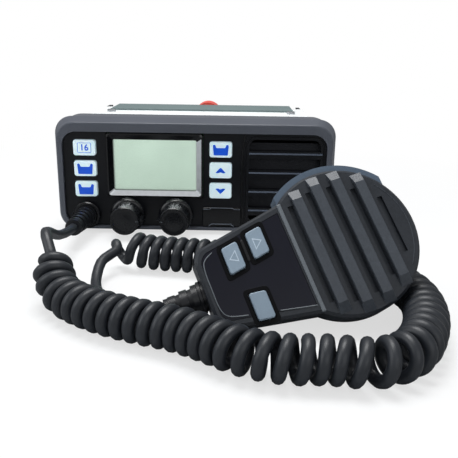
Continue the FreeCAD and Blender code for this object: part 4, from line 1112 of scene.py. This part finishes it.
class MARINE_OT_panel_trim(bpy.types.Operator):
    """Add strips of painted highlight on the louvres' top edges, the ridge beside them and the
    label plate's edges.
    """

    bl_idname = "marine.panel_trim"
    bl_label = "Panel trim"

    def execute(self, context):
        faces = [(0, 1, 2, 3), (7, 6, 5, 4)]
        faces += [(k, k + 4, (k + 1) % 4 + 4, (k + 1) % 4) for k in range(4)]
        for index in range(SLAT_COUNT):
            top = SLAT_TOP - SLAT_PITCH * index
            points = [(x, y, top + z) for x in SLAT_ENDS for z, y in SLAT_SECTION]
            add_mesh(f"slat_edge_{index}", points, faces, "slat_light", RADIO, "panel_black")
        line_piece("speaker_ridge", RIDGE, RIDGE_THICK, "gloss_black", RADIO)
        line_piece("label_top_edge", LABEL_ARCH, ARCH_THICK, "label_line", RADIO,
                   False)
        line_piece("label_tab_edge", LABEL_TAB, EDGE_THICK, "label_line", RADIO,
                   False)
        collar = lathe(COLLAR, ROUND_SEGMENTS, around(*COLLAR_MIDDLE), False)
        add_mesh("boot_collar", *collar, "knob_black", RADIO, "rubber_black", smooth=40)
        return {"FINISHED"}


class MARINE_OT_mic_ribs(bpy.types.Operator):
    """Cover the microphone's ribs with bars that slope at both ends."""

    bl_idname = "marine.mic_ribs"
    bl_label = "Microphone ribs"

    def execute(self, context):
        trim = context.scene.radio_trim
        wide, high = trim.rib_width / MM, trim.rib_height / MM
        for index in range(RIB_COUNT):
            left = RIB_FIRST + RIB_PITCH * index
            right = left + wide
            reach = math.sqrt(RIB_CIRCLE ** 2 - (left + RIB_HALF) ** 2)
            rows = [(-1, 0.0, RIB_TOE), (-1, high, RIB_SHOULDER), (1, high, RIB_SHOULDER),
                    (1, 0.0, RIB_TOE)]
            points, faces = [], []
            for side, top, (past, near, far) in rows:
                y = side * (reach + past)
                points += [on_mic(left, y, RIB_FOOT), on_mic(left + near, y, top),
                           on_mic(right - far, y, top), on_mic(right, y, RIB_FOOT)]
            for row in range(3):
                one, two = row * 4, row * 4 + 4
                faces += [(one + k, one + k + 1, two + k + 1, two + k) for k in range(3)]
                faces.append((one + 3, one, two, two + 3))
            faces += [(3, 2, 1, 0), (12, 13, 14, 15)]
            # The lighter rib colour paints the light on their raised faces
            rib = add_mesh(f"mic_rib_{index}", points, faces, "mic_rib", MIC, "mic_black")
            soften(rib, width=0.35)
        return {"FINISHED"}


class MARINE_OT_mic_face(bpy.types.Operator):
    """Add the microphone's key surrounds as black rings of painted shade, the signs, lines of
    painted highlight and the bare badge.
    """

    bl_idname = "marine.mic_face"
    bl_label = "Microphone face"

    def execute(self, context):
        high = context.scene.radio_trim.print_height / MM
        for name, (x, y, slope) in MIC_KEYS.items():
            outer = framed(x, y, WELL_OUTER, steps=5, slope=slope)
            inner = framed(x, y, WELL_INNER, steps=5, slope=slope)
            shade_ring = add_mesh(name + "_well", *ring_prism(outer, inner, PRINT_FOOT, WELL_TOP, on_mic),
                            "key_well", MIC, "mic_panel")
            soften(shade_ring, width=0.1, segments=1)
        for name, way in (("mic_down_key", -1), ("mic_up_key", 1)):
            x, y, _ = MIC_KEYS[name]
            corners = [(x + way * across, y + up + way * tilt) for across, up, tilt in SIGN_CORNERS]
            middle = sum((Vector(corner) for corner in corners), Vector((0, 0))) / len(corners)
            inner = [tuple(middle.lerp(Vector(corner), SIGN_OPENING)) for corner in corners]
            add_mesh(name + "_sign", *ring_prism(corners, inner, SIGN_LOW, SIGN_TOP + high, on_mic),
                     "mic_key_line", name, "mic_key")
        bar = extruded(rounded(slanted(*DIVIDER), radius=0.5), PRINT_FOOT, DIVIDER_TOP, on_mic)
        soften(add_mesh("mic_key_divider", *bar, "mic_dark", MIC, "mic_panel"), width=0.15)
        self.painted_highlight_lines()
        return {"FINISHED"}

    def painted_highlight_lines(self):
        """Lines of painted highlight round the label area and along the neck, and a line round the
        badge.
        """
        bar = extruded(slanted(*NECK_BAR), NECK_LOW, NECK_TOP, on_mic)
        soften(add_mesh("mic_neck_bar", *bar, "edge_light", MIC, "mic_black"), width=0.3)
        for name, line in (("mic_panel_edge_low", EDGE_LOW), ("mic_panel_edge", EDGE_TAIL)):
            places = [on_mic(x, y, EDGE_OUT) for x, y in line]
            line_piece(name, places, EDGE_THICK, "edge_light", MIC)
        arc = [on_mic(BADGE_RADIUS * math.cos(angle), BADGE_RADIUS * math.sin(angle), BADGE_OUT)
               for angle in map(math.radians, BADGE_ANGLES)]
        line_piece("mic_badge_edge", arc, BADGE_THICK, "mic_rib", MIC)


class MARINE_OT_boot_root(bpy.types.Operator):
    """Join the microphone's cord boot to its shell with a stepped root."""

    bl_idname = "marine.boot_root"
    bl_label = "Boot root"

    def execute(self, context):
        way = MIC_BOOT_WAY
        side = way.cross(Vector((0, 0, 1))).normalized()
        up = side.cross(way)
        start = Vector(MIC_BOOT_END) - way * MIC_BOOT_LENGTH
        root = lathe(BOOT_ROOT, ROUND_SEGMENTS,
                     lambda a, b, c: start + side * a + up * b + way * c)
        add_mesh("mic_boot_root", *root, "rubber_black", MIC, "rubber_black", smooth=35)
        return {"FINISHED"}


STEPS = ["finishes", "camera", "cord", "stage", "key_prints", "display", "knobs", "panel_trim",
         "mic_ribs", "mic_face", "boot_root"]


class MARINE_OT_all(bpy.types.Operator):
    """Make the whole scene on the loaded frame."""

    bl_idname = "marine.all"
    bl_label = "Whole scene"

    def execute(self, context):
        for step in STEPS:
            getattr(bpy.ops.marine, step)()
        return {"FINISHED"}


class MARINE_PT_panel(bpy.types.Panel):
    """Settings and pieces of the marine radio."""

    bl_idname = "MARINE_PT_panel"
    bl_label = "Marine Radio"
    bl_space_type = "VIEW_3D"
    bl_region_type = "UI"
    bl_category = "Marine Radio"

    def draw(self, context):
        layout = self.layout
        for name, kind in SETTINGS.items():
            column = layout.column(align=True)
            column.label(text=kind.__doc__)
            for item in kind.__annotations__:
                column.prop(getattr(context.scene, name), item)
        for step in [*STEPS, "all"]:
            layout.operator("marine." + step)


CLASSES = [
    *SETTINGS.values(), MARINE_OT_finishes, MARINE_OT_camera, MARINE_OT_stage, MARINE_OT_cord,
    MARINE_OT_key_prints, MARINE_OT_display, MARINE_OT_knobs, MARINE_OT_panel_trim,
    MARINE_OT_mic_ribs, MARINE_OT_mic_face, MARINE_OT_boot_root, MARINE_OT_all,
    MARINE_PT_panel,
]


def register():
    for kind in CLASSES:
        bpy.utils.register_class(kind)
    for name, kind in SETTINGS.items():
        setattr(bpy.types.Scene, name, PointerProperty(type=kind))


def unregister():
    for name in SETTINGS:
        delattr(bpy.types.Scene, name)
    for kind in reversed(CLASSES):
        bpy.utils.unregister_class(kind)


def main():
    """Register the add-on and dress the frame."""
    register()
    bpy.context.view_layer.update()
    bpy.ops.marine.all()


if __name__ == "__main__":
    main()
